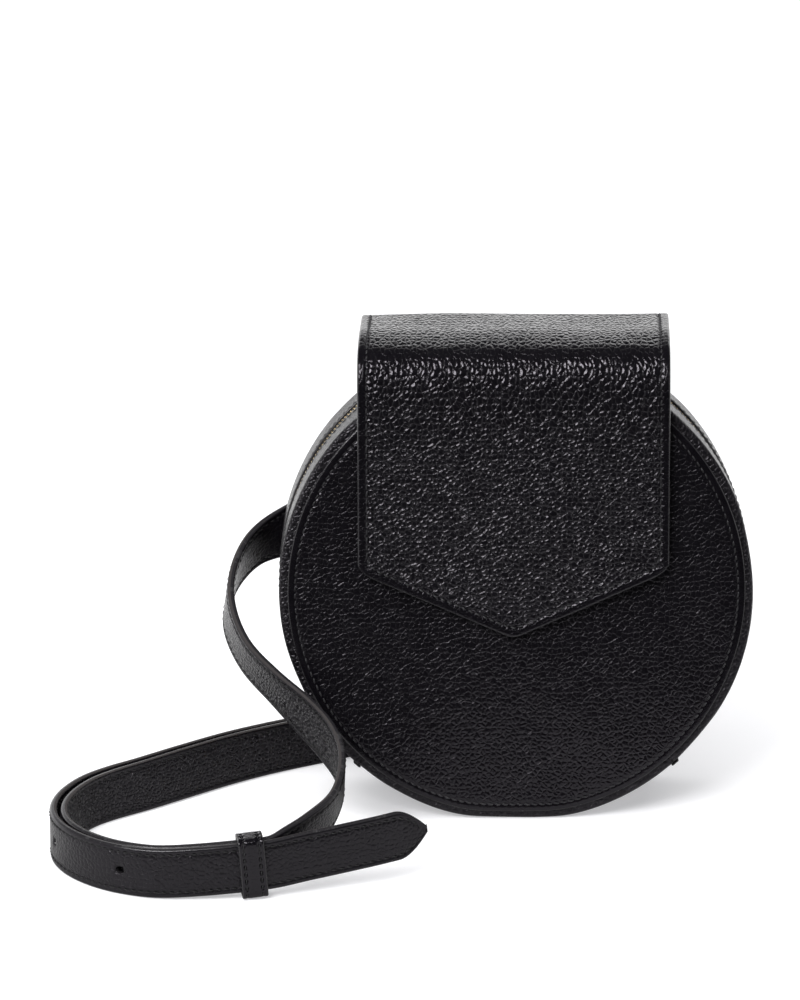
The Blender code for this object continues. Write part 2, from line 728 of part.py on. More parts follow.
def strap_layer(name, rows, near, far, half, slots, tip, skin):
    """One leather layer of a strap between two offsets, with slots as (start, end, half width)."""
    lengths = run_lengths(rows)
    total = lengths[-1]
    rows = list(rows)
    marks = {edge for start, end, _ in slots for edge in (start, end)}
    marks |= {total - tip * share for share in TIP_ROW_SHARES if tip}
    for mark in sorted(marks):
        k, row = row_at(rows, lengths, mark)
        rows.insert(k, row)
        lengths.insert(k, mark)
    slot_half = slots[0][2]
    shells = ([], [])
    for (centre, _, width, out), length in zip(rows, lengths):
        reach = half
        left = total - length
        if left < tip:
            reach = half * (1.0 - (1.0 - TIP_END_SHARE) * (1.0 - left / tip) ** TIP_FULLNESS)
        inner = min(slot_half, reach / 2)
        for shell, by in zip(shells, (far, near)):
            middle = centre + by * out
            shell.append([middle + a * width for a in (-reach, -inner, inner, reach)])
    holes = []
    for k in range(len(rows) - 1):
        middle = (lengths[k] + lengths[k + 1]) / 2
        if any(start < middle < end for start, end, _ in slots):
            holes.append((k, 1))
    return grid_solid(name, *shells, skin, holes=holes)


def build_strap(name, rows, slots, tip, skin):
    """A strap of two layers: the outer leather stands on the floor and the lining is a bit narrower."""
    half = STRAP_WIDTH / 2
    out = STRAP_THICKNESS / 2
    gap = FIT_GAP / 2
    strap_layer(name + "_outer", rows, gap, out, half, slots, tip, skin)
    strap_layer(name + "_lining", rows, -out, -gap, half - LINING_TRIM, slots, tip, skin)


def double_run():
    """The floor line between the two straps, with the lift, width direction, outward direction and
    half the distance between the straps at each point."""
    spots = [place(p[0] * BAG_RADIUS, p[1] * BAG_RADIUS, 0.0) for p in DOUBLE_RUN_SHARES]
    made = []
    for k, (_, _, lift, lean, parting) in enumerate(DOUBLE_RUN_SHARES):
        run = (spots[min(k + 1, len(spots) - 1)] - spots[max(k - 1, 0)]).normalized()
        level = run.cross(UP)
        width = (UP + lean * level).normalized()
        apart = (STRAP_THICKNESS + parting * STRAP_PARTING) / 2
        made.append((spots[k], lift * BAG_RADIUS, width, level, apart))
    return made


def beside(double, way):
    """Route points of the outer (way 1) or inner (way -1) strap, or of the line between (way 0)."""
    points = []
    for spot, lift, width, level, apart in double:
        rise = (STRAP_WIDTH * width.z + STRAP_THICKNESS * width.dot(level)) / 2
        points.append((*(spot + way * apart * level + (lift + rise) * UP), *width))
    return points


def free_run(shares):
    points = []
    for across, back, follow, height, width in shares:
        depth = follow * BAG_DEPTH * math.cos(GUSSET_DIP)
        at = place(across * BAG_RADIUS, back * BAG_RADIUS + depth, height * BAG_RADIUS)
        points.append((*at, *Vector(width).normalized()))
    return points


def sewn_run(way):
    """Route points of a strap's end that lies flat on the back panel under its patch."""
    width = (0.0, math.sin(PANEL_LEAN), math.cos(PANEL_LEAN))
    flat = BAG_DEPTH + FIT_GAP + STRAP_THICKNESS / 2
    places = (
        (ANCHOR_REACH - ANCHOR_LENGTH, flat),
        (ANCHOR_REACH - ANCHOR_HEM, flat),
        (STRAP_LEAVES, flat + LEAVING_GAP),
    )
    return [(*in_bag(way * across, depth, ANCHOR_UP), *width) for across, depth in places]


def buckle_place(double):
    """The middles of the buckle's near and far bars, the way from far to near, outward, and the
    radius of the strap's fold round the near bar."""
    start = Vector(beside(double, 0)[0][:3])
    along = (double[1][0] - double[0][0]).normalized()
    out = along.cross(UP)
    fold = STRAP_THICKNESS / 2 + FOLD_GAP + FRAME_BAR / 2
    near = start - (double[0][4] + fold) * out
    far = start - FRAME_LENGTH * along + FRAME_OUT * out
    return near, far, along, out, fold


def fold_rows(inner, near, along, out, fold):
    """The end of the buckle strap: its tail beside the strap, then half a turn round the near bar."""
    close = STRAP_THICKNESS + FOLD_GAP + STRAP_PARTING
    lengths = run_lengths(inner)
    rows = []
    for run_share, open_share in TAIL_SHARES:
        _, (centre, _, width, level) = row_at(inner, lengths, FOLD_TAIL * run_share)
        rows.append((centre - (close + open_share * (2 * fold - close)) * level, width))
    for k in range(FOLD_STEPS + 1):
        turn = math.pi * k / FOLD_STEPS
        rows.append((near - fold * (math.cos(turn) * out + math.sin(turn) * along), UP))
    return rows


def prong_path(near, far, along, out):
    """The prong's middle line: a hook round the near bar, a neck up through the strap, then straight
    to the far bar."""
    hook = FRAME_BAR / 2 + PRONG_GAP + PRONG_THICKNESS / 2
    path = []
    for k in range(HOOK_STEPS + 1):
        turn = HOOK_START + HOOK_TURN * k / HOOK_STEPS
        path.append((-hook * math.cos(turn), hook * math.sin(turn)))
    foot = (PRONG_NECK_FOOT, hook + PRONG_THICKNESS / 2)
    path.append(foot)
    path.append((foot[0] + PRONG_NECK_RUN, foot[1] + PRONG_NECK_RISE))
    gone = far - near
    path.append((FRAME_BAR / 2 + PRONG_OVERHANG - gone.dot(along), gone.dot(out) + hook))
    return [near - a * along + b * out for a, b in path]


def length_at_line(rows, lengths, start, end):
    """How far along the strap the line from start to end passes through it."""
    side = (end - start).cross(UP)
    middle = (start + end) / 2
    aside = [(row[0] - start).dot(side) for row in rows]
    crossed = [k for k in range(1, len(rows)) if aside[k - 1] * aside[k] <= 0]
    k = min(crossed, key=lambda n: (rows[n][0] - middle).length)
    share = aside[k - 1] / (aside[k - 1] - aside[k])
    return lengths[k - 1] + share * (lengths[k] - lengths[k - 1])


def build_belt(skins):
    leather = skins["leather"]
    double = double_run()
    near, far, along, out, fold = buckle_place(double)

    # The buckle strap: folded round the buckle, along the floor and up to the back of the bag
    route = beside(double, -1) + free_run(RISING_RUN_SHARES) + sewn_run(-1)[::-1]
    rows = even_rows(route, STRAP_STEP)
    folded = fold_rows(framed(rows), near, along, out, fold)
    fold_end = run_lengths(folded)[-1]
    fold_start = fold_end - math.pi * fold
    rows = framed(folded + rows[1:])
    slot = (fold_start - FRAME_BAR, fold_end + FRAME_BAR, FOLD_SLOT / 2)
    build_strap("buckle_strap", rows, [slot], 0.0, leather)

    # The tip strap: from the back of the bag through the buckle, round the outside and to its tip
    outer = beside(double, 1)
    below = far - (FRAME_BAR / 2 + FOLD_GAP + STRAP_THICKNESS / 2) * out
    middle = (below + Vector(outer[0][:3])) / 2
    tip = []
    for across, back, lift in TIP_RUN_SHARES:
        at = place(across * BAG_RADIUS, back * BAG_RADIUS, lift * BAG_RADIUS + STRAP_WIDTH / 2)
        tip.append((*at, *UP))
    route = sewn_run(1) + free_run(FALLING_RUN_SHARES) + [(*below, *UP), (*middle, *UP)] + outer + tip
    rows = framed(even_rows(route, STRAP_STEP))
    lengths = run_lengths(rows)
    path = prong_path(near, far, along, out)
    first = length_at_line(rows, lengths, path[-3], path[-2])
    slots = []
    for k in range(HOLE_COUNT):
        middle = first + k * HOLE_PITCH
        slots.append((middle - HOLE_LENGTH / 2, middle + HOLE_LENGTH / 2, HOLE_WIDTH / 2))
    build_strap("tip_strap", rows, slots, TIP_LENGTH, leather)

    half_height = STRAP_WIDTH / 2 + FRAME_CLEARANCE + FRAME_BAR / 2
    tube_ring("buckle_frame", near, far, half_height, skins["gold"])
    sheet_along("buckle_prong", path, PRONG_THICKNESS, PRONG_WIDTH, skins["gold"], near)
    build_keepers(double, leather)
    for side, way in (("left", -1), ("right", 1)):
        build_anchor("belt_anchor_" + side, way, leather)


def sheet_along(name, path, thick, width, skin, origin):
    """A strip of even thickness along a level path, standing on its edge."""
    shells = ([], [])
    for k, at in enumerate(path):
        before = (at - path[max(k - 1, 0)]).normalized()
        after = (path[min(k + 1, len(path) - 1)] - at).normalized()
        run = (before + after).normalized()
        spread = max(run.dot(before), run.dot(after))
        side = run.cross(UP) * thick / 2 / spread
        for shell, way in zip(shells, (1, -1)):
            shell.append([at + way * side - width / 2 * UP, at + way * side + width / 2 * UP])
    return grid_solid(name, *shells, skin, origin=origin)


def tube_ring(name, near, far, half_height, skin):
    """A closed upright frame of round bar whose two upright bars stand at near and far."""
    level = (near - far).normalized()
    centre = (near + far) / 2
    half_length = (near - far).length / 2
    normal = level.cross(UP)
    bm = bmesh.new()
    loops = []
    for quarter in range(4):
        hub_level = (half_length - FRAME_CORNER) * (1 if quarter in (0, 3) else -1)
        hub_up = (half_height - FRAME_CORNER) * (1 if quarter in (0, 1) else -1)
        for k in range(FRAME_CORNER_STEPS + 1):
            turn = math.pi / 2 * (quarter + k / FRAME_CORNER_STEPS)
            outward = math.cos(turn) * level + math.sin(turn) * UP
            at = centre + hub_level * level + hub_up * UP + FRAME_CORNER * outward
            loop = []
            for j in range(FRAME_SIDES):
                roll = 2 * math.pi * (j + 0.5) / FRAME_SIDES
                shift = math.cos(roll) * outward + math.sin(roll) * normal
                loop.append(bm.verts.new(at + FRAME_BAR / 2 * shift))
            loops.append(loop)
    for here, there in zip(loops, loops[1:] + loops[:1]):
        for j in range(FRAME_SIDES):
            k = (j + 1) % FRAME_SIDES
            bm.faces.new((here[j], there[j], there[k], here[k]))
    return finished(name, bm, skin)


def loop_band(name, row, low, high, length, skin, origin=None):
    """A leather loop round straps at a row of their run, from low to high across their thickness."""
    centre, along, width, out = row
    half = (STRAP_WIDTH + KEEPER_PLAY) / 2
    shells = []
    for grow, cut in ((KEEPER_WALL, KEEPER_WALL), (0.0, KEEPER_WALL * KEEPER_CUT_SHARE)):
        top = half + grow
        left = low - grow
        right = high + grow
        ring = [
            (right, top - cut), (right - cut, top), (left + cut, top), (left, top - cut),
            (left, cut - top), (left + cut, -top), (right - cut, -top), (right, cut - top),
        ]
        shell = []
        for a, b in ring:
            at = centre + a * out + b * width
            shell.append([at - length / 2 * along, at + length / 2 * along])
        shells.append(shell)
    return grid_solid(name, *shells, skin, wrap=True, origin=origin)


def build_keepers(double, skin):
    rows = framed(even_rows(beside(double, 0), STRAP_STEP / 2))
    lengths = run_lengths(rows)

    # The loose keeper at the front holds both straps
    _, row = row_at(rows, lengths, lengths[-1] - KEEPER_FROM_END)
    reach = double[-1][4] + STRAP_THICKNESS / 2 + KEEPER_SLACK
    loop_band("belt_keeper", row, -reach, reach, KEEPER_LENGTH, skin, row[0])

    # The fixed keeper beside the buckle holds the folded tail too
    _, row = row_at(rows, lengths, FIXED_KEEPER_PLACE)
    high = double[0][4] + STRAP_THICKNESS / 2 + 2 * FIT_GAP
    low = -high - STRAP_THICKNESS - FOLD_GAP - STRAP_PARTING
    loop_band("buckle_keeper", row, low, high, FIXED_KEEPER_LENGTH, skin)


def build_anchor(name, way, skin):
    """A leather patch sewn over the strap's end on the back panel."""
    strap_half = STRAP_WIDTH / 2 + FIT_GAP
    raised = STRAP_THICKNESS + FIT_GAP + ANCHOR_ROOM
    hem = strap_half + ANCHOR_LEATHER
    half = (
        (hem + ANCHOR_HEM, FIT_GAP, hem + ANCHOR_HEM),
        (hem, FIT_GAP, hem + ANCHOR_LEATHER / 2),
        (strap_half, raised, strap_half + ANCHOR_LEATHER / 2),
    )
    low_side = [(up, clear, top) for up, clear, top in half]
    low_side += [(-up, clear, -top) for up, clear, top in reversed(half)]
    shells = ([], [])
    for up, clear, top in low_side:
        for shell, rise, level in ((shells[0], ANCHOR_LEATHER, top), (shells[1], 0.0, up)):
            row = []
            for across in (ANCHOR_REACH - ANCHOR_LENGTH, ANCHOR_REACH):
                row.append(in_bag(way * across, BAG_DEPTH + clear + rise, ANCHOR_UP + level))
            shell.append(row)
    return grid_solid(name, *shells, skin)


def main():
    clear_scene()
    skins = {
        "leather": material("black_leather", (0.012, 0.011, 0.013), 0.42),
        "lining": material("lining_fabric", (0.035, 0.033, 0.036), 0.85),
        "tape": material("zip_tape", (0.020, 0.019, 0.021), 0.80),
        "gold": material("gold_metal", (0.78, 0.60, 0.30), 0.28, 1.0),
        "steel": material("snap_steel", (0.55, 0.54, 0.52), 0.35, 1.0),
    }
    build_panels(skins)
    build_gusset(skins)
    build_slider(skins)
    build_flap(skins)
    build_belt(skins)


main()
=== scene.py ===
import math

import bmesh
import bpy
import numpy as np
from mathutils import Matrix


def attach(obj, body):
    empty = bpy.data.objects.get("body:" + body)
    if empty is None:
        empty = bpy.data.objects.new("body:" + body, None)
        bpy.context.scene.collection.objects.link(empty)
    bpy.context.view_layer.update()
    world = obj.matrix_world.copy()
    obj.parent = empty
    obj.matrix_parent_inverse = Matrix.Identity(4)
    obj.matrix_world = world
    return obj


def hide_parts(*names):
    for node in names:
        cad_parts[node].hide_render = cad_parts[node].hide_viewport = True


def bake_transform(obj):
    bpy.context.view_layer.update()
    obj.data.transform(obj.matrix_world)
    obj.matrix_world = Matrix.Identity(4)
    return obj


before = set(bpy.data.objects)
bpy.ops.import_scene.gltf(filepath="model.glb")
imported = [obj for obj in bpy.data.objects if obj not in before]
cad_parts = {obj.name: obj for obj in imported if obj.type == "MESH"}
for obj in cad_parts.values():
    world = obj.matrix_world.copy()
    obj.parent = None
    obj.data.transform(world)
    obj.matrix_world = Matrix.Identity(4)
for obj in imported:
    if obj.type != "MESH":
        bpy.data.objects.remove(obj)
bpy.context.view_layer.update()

# The bag's own sizes, the same as the fixed frame's, in metres and radians
BAG_RADIUS = 0.0933
BAG_DEPTH = 0.048
PANEL_LEAN = math.radians(9.5)
GUSSET_DIP = math.radians(5.0)
SOLE_SQUASH = 0.0015
SOLE_SOFTNESS = 0.0016
SOLE_SINK = 0.00016
SOLE_FADE = 0.002
SOLE_REACH = 0.02
SEAM_GAP = 0.0003
PANEL_LEATHER = 0.0014
PANEL_INSET = 0.0033
GUSSET_LEATHER = 0.0012
FLANGE_WIDTH = 0.009
CORNER_RADIUS = 0.0016
LINING = 0.0006
ZIP_END_ANGLE = math.radians(48.0)
CENTRE_HEIGHT = BAG_RADIUS * math.cos(PANEL_LEAN) - SOLE_SQUASH
ZIP_MIDDLE = BAG_DEPTH / 2
FLANGE_FACE = PANEL_LEATHER + SEAM_GAP

# Zip
ZIP_WINDOW = 0.010
TEETH_WIDTH = 0.00235
TEETH_HEIGHT = 0.0026
TEETH_SUNK = 0.0005
TEETH_SLOT = 0.0009
TOOTH_PITCH = 0.0016
TOOTH_LENGTH = 0.00105
TAPE_WIDTH = 0.0075
SLIDER_LENGTH = 0.010
SLIDER_WIDTH = 0.008
SLIDER_PLATE = 0.0008
SLIDER_FLOAT = 0.00055
SLIDER_ARCH = 0.0028
ARCH_SPAN = 0.0056
ARCH_BAR = 0.0008
ARCH_WIDTH = 0.0018
PULL_LENGTH = 0.0150
PULL_WIDTH = 0.0056
PULL_THICKNESS = 0.0010
PULL_HOLE_WIDTH = 0.0030
PULL_HOLE_LENGTH = 0.0056
PULL_END_BAR = 0.0012
TAB_WIDTH = 0.0034
TAB_THICKNESS = 0.0009

# Flap
FLAP_HALF_WIDTH = 0.061
FLAP_SHIFT = -0.0014
FLAP_TOP_RISE = 0.00395
FLAP_LEATHER = 0.0014
FLAP_LINING = 0.0008
FLAP_TOTAL = FLAP_LEATHER + SEAM_GAP + FLAP_LINING
FLAP_STANDOFF = 0.0026
FLAP_FRONT = -FLAP_STANDOFF - FLAP_TOTAL
FLAP_BACK = BAG_DEPTH + SEAM_GAP + FLAP_TOTAL
FLAP_TOP = BAG_RADIUS + FLAP_TOP_RISE + FLAP_TOTAL
FLAP_CORNER_UP = 0.009
FLAP_POINT_DROP = 0.0265
FLAP_CORNER_ROUND = 0.006
FLAP_REAR_BEND = 0.0062
FLAP_FRONT_BEND = 0.011
FLAP_ROUND = 0.030
FLAP_ROUND_TURN = math.radians(18.0)
FLAP_SHOULDER = 0.080
FLAP_SHOULDER_TURN = math.radians(74.0)
FLAP_REAR_RISE = 0.0009
FLAP_REAR_SKEW = 0.0026
FLAP_REAR_FOLD_UP = FLAP_TOP - FLAP_REAR_BEND
FLAP_FRONT_FOLD_UP = FLAP_REAR_FOLD_UP - 0.0015
FLAP_SEAM_UP = 0.040
LINING_INSET = 0.0008
FOLD_SPREAD = 0.004
SNAP_RADIUS = 0.0075
SNAP_THICKNESS = 0.0009
SNAP_UP = -0.002
POCKET_RADIUS = 0.070
POCKET_TOP = 0.010

# Belt
STRAP_WIDTH = 0.020
STRAP_THICKNESS = 0.0029
STRAP_PARTING = 0.0004
LINING_TRIM = 0.0005
ANCHOR_UP = 0.016
ANCHOR_REACH = 0.068
ANCHOR_LENGTH = 0.030
ANCHOR_LEATHER = 0.0014
ANCHOR_HEM = 0.005
ANCHOR_ROOM = 0.0007
STRAP_LEAVES = 0.080
LEAVING_GAP = 0.0012
TIP_LENGTH = 0.012
TIP_END_SHARE = 0.10
TIP_FULLNESS = 1.65
HOLE_LENGTH = 0.0034
PRONG_HOLE_LENGTH = 0.0068
HOLE_WIDTH = 0.0030
HOLE_PITCH = 0.038
HOLE_COUNT = 8
FRAME_LENGTH = 0.021
FRAME_CLEARANCE = 0.001
FRAME_BAR = 0.0030
FRAME_OUT = 0.0010
FRAME_CORNER = 0.0024
FOLD_GAP = 0.00035
FOLD_TAIL = 0.028
TAIL_SHARES = ((1.0, 0.0), (0.62, 0.0), (0.38, 0.12), (0.20, 0.83))
FOLD_SLOT = 0.0044
PRONG_WIDTH = 0.0028
PRONG_THICKNESS = 0.0013
PRONG_GAP = 0.00035
PRONG_OVERHANG = 0.0018
PRONG_NECK_FOOT = 0.0030
PRONG_NECK_RUN = 0.0033
PRONG_NECK_RISE = 0.0047
KEEPER_LENGTH = 0.010
KEEPER_WALL = 0.0015
KEEPER_CREASE = 1.7
KEEPER_PLAY = 0.0012
KEEPER_SLACK = 0.0005
KEEPER_FROM_END = 0.0080
FIXED_KEEPER_PLACE = 0.018
FIXED_KEEPER_LENGTH = 0.007

# The belt's route, as in the frame: across, back and lift as shares of the bag's radius, the share of
# the strap's width by which its top leans out, and the gap between the straps in partings
DOUBLE_RUN_SHARES = (
    (-0.193, 0.772, 0.049, 0.00, 1.0),
    (-0.364, 0.713, 0.043, 0.02, 1.0),
    (-0.514, 0.659, 0.026, 0.05, 1.0),
    (-0.665, 0.600, 0.010, 0.08, 1.0),
    (-0.825, 0.532, 0.000, 0.11, 1.0),
    (-1.034, 0.420, 0.000, 0.15, 1.0),
    (-1.222, 0.300, 0.000, 0.21, 1.5),
    (-1.425, 0.141, 0.000, 0.24, 2.0),
    (-1.586, 0.008, 0.000, 0.21, 2.5),
    (-1.715, -0.090, 0.000, 0.14, 3.5),
    (-1.811, -0.185, 0.000, 0.07, 4.0),
    (-1.879, -0.305, 0.000, 0.03, 4.0),
    (-1.913, -0.420, 0.000, 0.00, 3.5),
    (-1.915, -0.530, 0.000, 0.00, 3.0),
    (-1.886, -0.640, 0.000, 0.00, 2.2),
    (-1.820, -0.750, 0.000, 0.00, 1.4),
    (-1.717, -0.847, 0.000, 0.00, 1.0),
    (-1.599, -0.912, 0.001, 0.00, 1.0),
    (-1.481, -0.947, 0.004, 0.00, 1.0),
    (-1.324, -0.955, 0.014, 0.00, 1.2),
    (-1.160, -0.948, 0.026, 0.00, 1.5),
    (-1.025, -0.930, 0.036, 0.00, 1.5),
)
TIP_RUN_SHARES = (
    (-0.900, -0.922, 0.054),
    (-0.792, -0.897, 0.068),
    (-0.600, -0.843, 0.090),
    (-0.455, -0.793, 0.107),
    (-0.392, -0.770, 0.1145),
)
# Across, back, the share of the bag's depth that the point follows, height, and the width's direction
RISING_RUN_SHARES = (
    (-0.955, -0.866, 0.00, 0.172, (-0.12, -0.08, 0.99)),
    (-0.880, -0.790, 0.00, 0.210, (-0.08, -0.37, 0.93)),
    (-0.778, -0.663, 0.00, 0.272, (0.04, -0.47, 0.88)),
    (-0.741, -0.495, 0.00, 0.359, (0.03, -0.46, 0.89)),
    (-0.795, -0.355, 0.00, 0.435, (0.18, -0.39, 0.91)),
    (-0.891, -0.233, 0.00, 0.505, (0.18, -0.38, 0.91)),
    (-1.015, -0.157, 0.10, 0.585, (0.09, -0.50, 0.86)),
    (-1.146, -0.121, 0.30, 0.686, (0.09, -0.55, 0.83)),
    (-1.214, -0.058, 0.50, 0.804, (0.13, -0.55, 0.82)),
    (-1.195, -0.003, 0.70, 0.910, (0.05, -0.56, 0.82)),
    (-1.104, 0.029, 0.90, 1.002, (-0.13, -0.47, 0.87)),
    (-0.960, 0.046, 1.00, 1.056, (-0.15, 0.02, 0.99)),
)
FALLING_RUN_SHARES = (
    (0.925, 0.105, 1.00, 1.060, (-0.16, 0.36, 0.92)),
    (0.955, 0.190, 1.00, 1.015, (-0.34, 0.52, 0.78)),
    (0.935, 0.300, 1.00, 0.950, (-0.47, 0.56, 0.68)),
    (0.890, 0.425, 1.00, 0.870, (-0.56, 0.54, 0.62)),
    (0.840, 0.560, 1.00, 0.740, (-0.62, 0.50, 0.60)),
    (0.795, 0.670, 1.00, 0.600, (-0.62, 0.51, 0.60)),
    (0.715, 0.740, 1.00, 0.460, (-0.60, 0.54, 0.59)),
    (0.610, 0.765, 1.00, 0.335, (-0.55, 0.57, 0.61)),
    (0.490, 0.730, 1.00, 0.240, (-0.45, 0.52, 0.72)),
    (0.375, 0.640, 1.00, 0.180, (-0.30, 0.38, 0.87)),
    (0.270, 0.520, 1.00, 0.158, (-0.14, 0.20, 0.97)),
    (0.170, 0.410, 1.00, 0.156, (-0.04, 0.05, 1.00)),
)

# Sewing: the thread, its pitch, and how the leather gives way round a row of stitches
THREAD_RADIUS = 0.00036
THREAD_RISE = 0.00036
THREAD_SINK = 0.00016
THREAD_SLANT = 0.00014
THREAD_RINGS = 6
THREAD_SIDES = 6
STITCH_PITCH = 0.0030
STITCH_SHARE = 0.74
ROWS_IN_STITCH = 4
CHANNEL_DEPTH = 0.00040
CHANNEL_WIDTH = 0.0007
STITCH_BED = CHANNEL_DEPTH * 0.7
FLAP_STITCH_INSET = 0.0036
PANEL_STITCH_INSET = 0.0030
STRAP_STITCH_INSET = 0.0024
GUSSET_STITCH_INSET = 0.0019
KEEPER_STITCH_INSET = 0.0020
ANCHOR_STITCH_INSET = 0.0022
ANCHOR_EDGE_REACH = 0.006

# How the leather's faces fall away at their edges
FLAP_ROLL = 0.0011
PANEL_ROLL = 0.00065
STRAP_ROLL = 0.0012
GUSSET_ROLL = 0.00055
# Distances from an edge at which a sheet gets a column of points
EDGE_STEPS = tuple(
    step / 1000
    for step in (0, 0.03, 0.12, 0.27, 0.48, 0.75, 1.1, 1.5, 1.9, 2.2, 2.5, 2.8, 3.1, 3.4, 3.7, 4.1, 4.6, 5.3)
)

UP = np.array([0.0, 0.0, 1.0])
TINY = 1e-9
WELD = 2e-7


def unit(v):
    return v / np.maximum(np.linalg.norm(v, axis=-1, keepdims=True), TINY)


def spread(values):
    return np.concatenate([[0.0], np.cumsum(np.linalg.norm(np.diff(values, axis=0), axis=-1))])


def sampled(values, marks, where):
    """Rows of values read at other marks along them."""
    flat = values.reshape(len(values), -1)
    out = np.stack([np.interp(where, marks, flat[:, k]) for k in range(flat.shape[1])], axis=-1)
    return out.reshape(np.shape(where) + values.shape[1:])


def base_back(depth):
    up = (CENTRE_HEIGHT - depth * math.sin(GUSSET_DIP)) / math.cos(PANEL_LEAN)
    return depth * math.cos(GUSSET_DIP) - up * math.sin(PANEL_LEAN)


ORIGIN_BACK = base_back(BAG_DEPTH / 2)


def place(across, back, height):
    return np.array([across, back - ORIGIN_BACK, height])


def in_bag(across, depth, up):
    """A point of the bag: depth behind the front panel's face, up along the leaning panel."""
    across, depth, up = np.broadcast_arrays(across, depth, up)
    back = depth * math.cos(GUSSET_DIP) + up * math.sin(PANEL_LEAN) - ORIGIN_BACK
    height = CENTRE_HEIGHT - depth * math.sin(GUSSET_DIP) + up * math.cos(PANEL_LEAN)
    return np.stack([across, back, height], axis=-1)


BAG_MIDDLE = in_bag(0.0, ZIP_MIDDLE, 0.0)


def ring_radius(angle, depth):
    """The gusset's outer radius: round, and softly flattened by the floor under it."""
    drop = -np.sin(angle) * math.cos(PANEL_LEAN)
    reach = CENTRE_HEIGHT - depth * math.sin(GUSSET_DIP)
    above = reach - BAG_RADIUS * drop
    sunk = SOLE_SINK * np.exp(-np.maximum(above, 0.0) / SOLE_FADE)
    lifted = (above + np.sqrt(above ** 2 + SOLE_SOFTNESS ** 2)) / 2 - sunk
    soft = (reach - lifted) / np.maximum(drop, TINY)
    return np.where(above < SOLE_REACH, np.minimum(soft, BAG_RADIUS), BAG_RADIUS)


def on_ring(angle, depth, inset):
    radius = ring_radius(angle, depth) - inset
    return in_bag(radius * np.cos(angle), depth, radius * np.sin(angle))


def rolled(inset, radius):
    """How far a face falls away this close to its rolled edge."""
    short = np.clip(radius - inset, 0.0, radius)
    return radius - np.sqrt(radius ** 2 - short ** 2)


def channel(inset, row, along):
    """The dip along a row of stitches, deepest at the needle holes."""
    pucker = 0.7 + 0.5 * np.cos(2 * math.pi * along / STITCH_PITCH)
    return CHANNEL_DEPTH * pucker * np.exp(-(((inset - row) / CHANNEL_WIDTH) ** 2))


def slack(across, up):
    """The slow uneven give of soft leather."""
    return 0.00022 * (
        np.sin(across * 61 + up * 34 + 0.7)
        + 0.7 * np.sin(across * -97 + up * 71 + 2.1)
        + 0.5 * np.sin(across * 140 + up * 118 + 4.0)
    )


def outward(line, ring):
    """Directions square to a grid of points, pointing away from the bag's middle."""
    if ring:
        along = np.roll(line, -1, axis=0) - np.roll(line, 1, axis=0)
    else:
        along = np.gradient(line, axis=0)
    out = unit(np.cross(along, np.gradient(line, axis=1)))
    return out * np.sign(np.sum(out * (line - BAG_MIDDLE)))


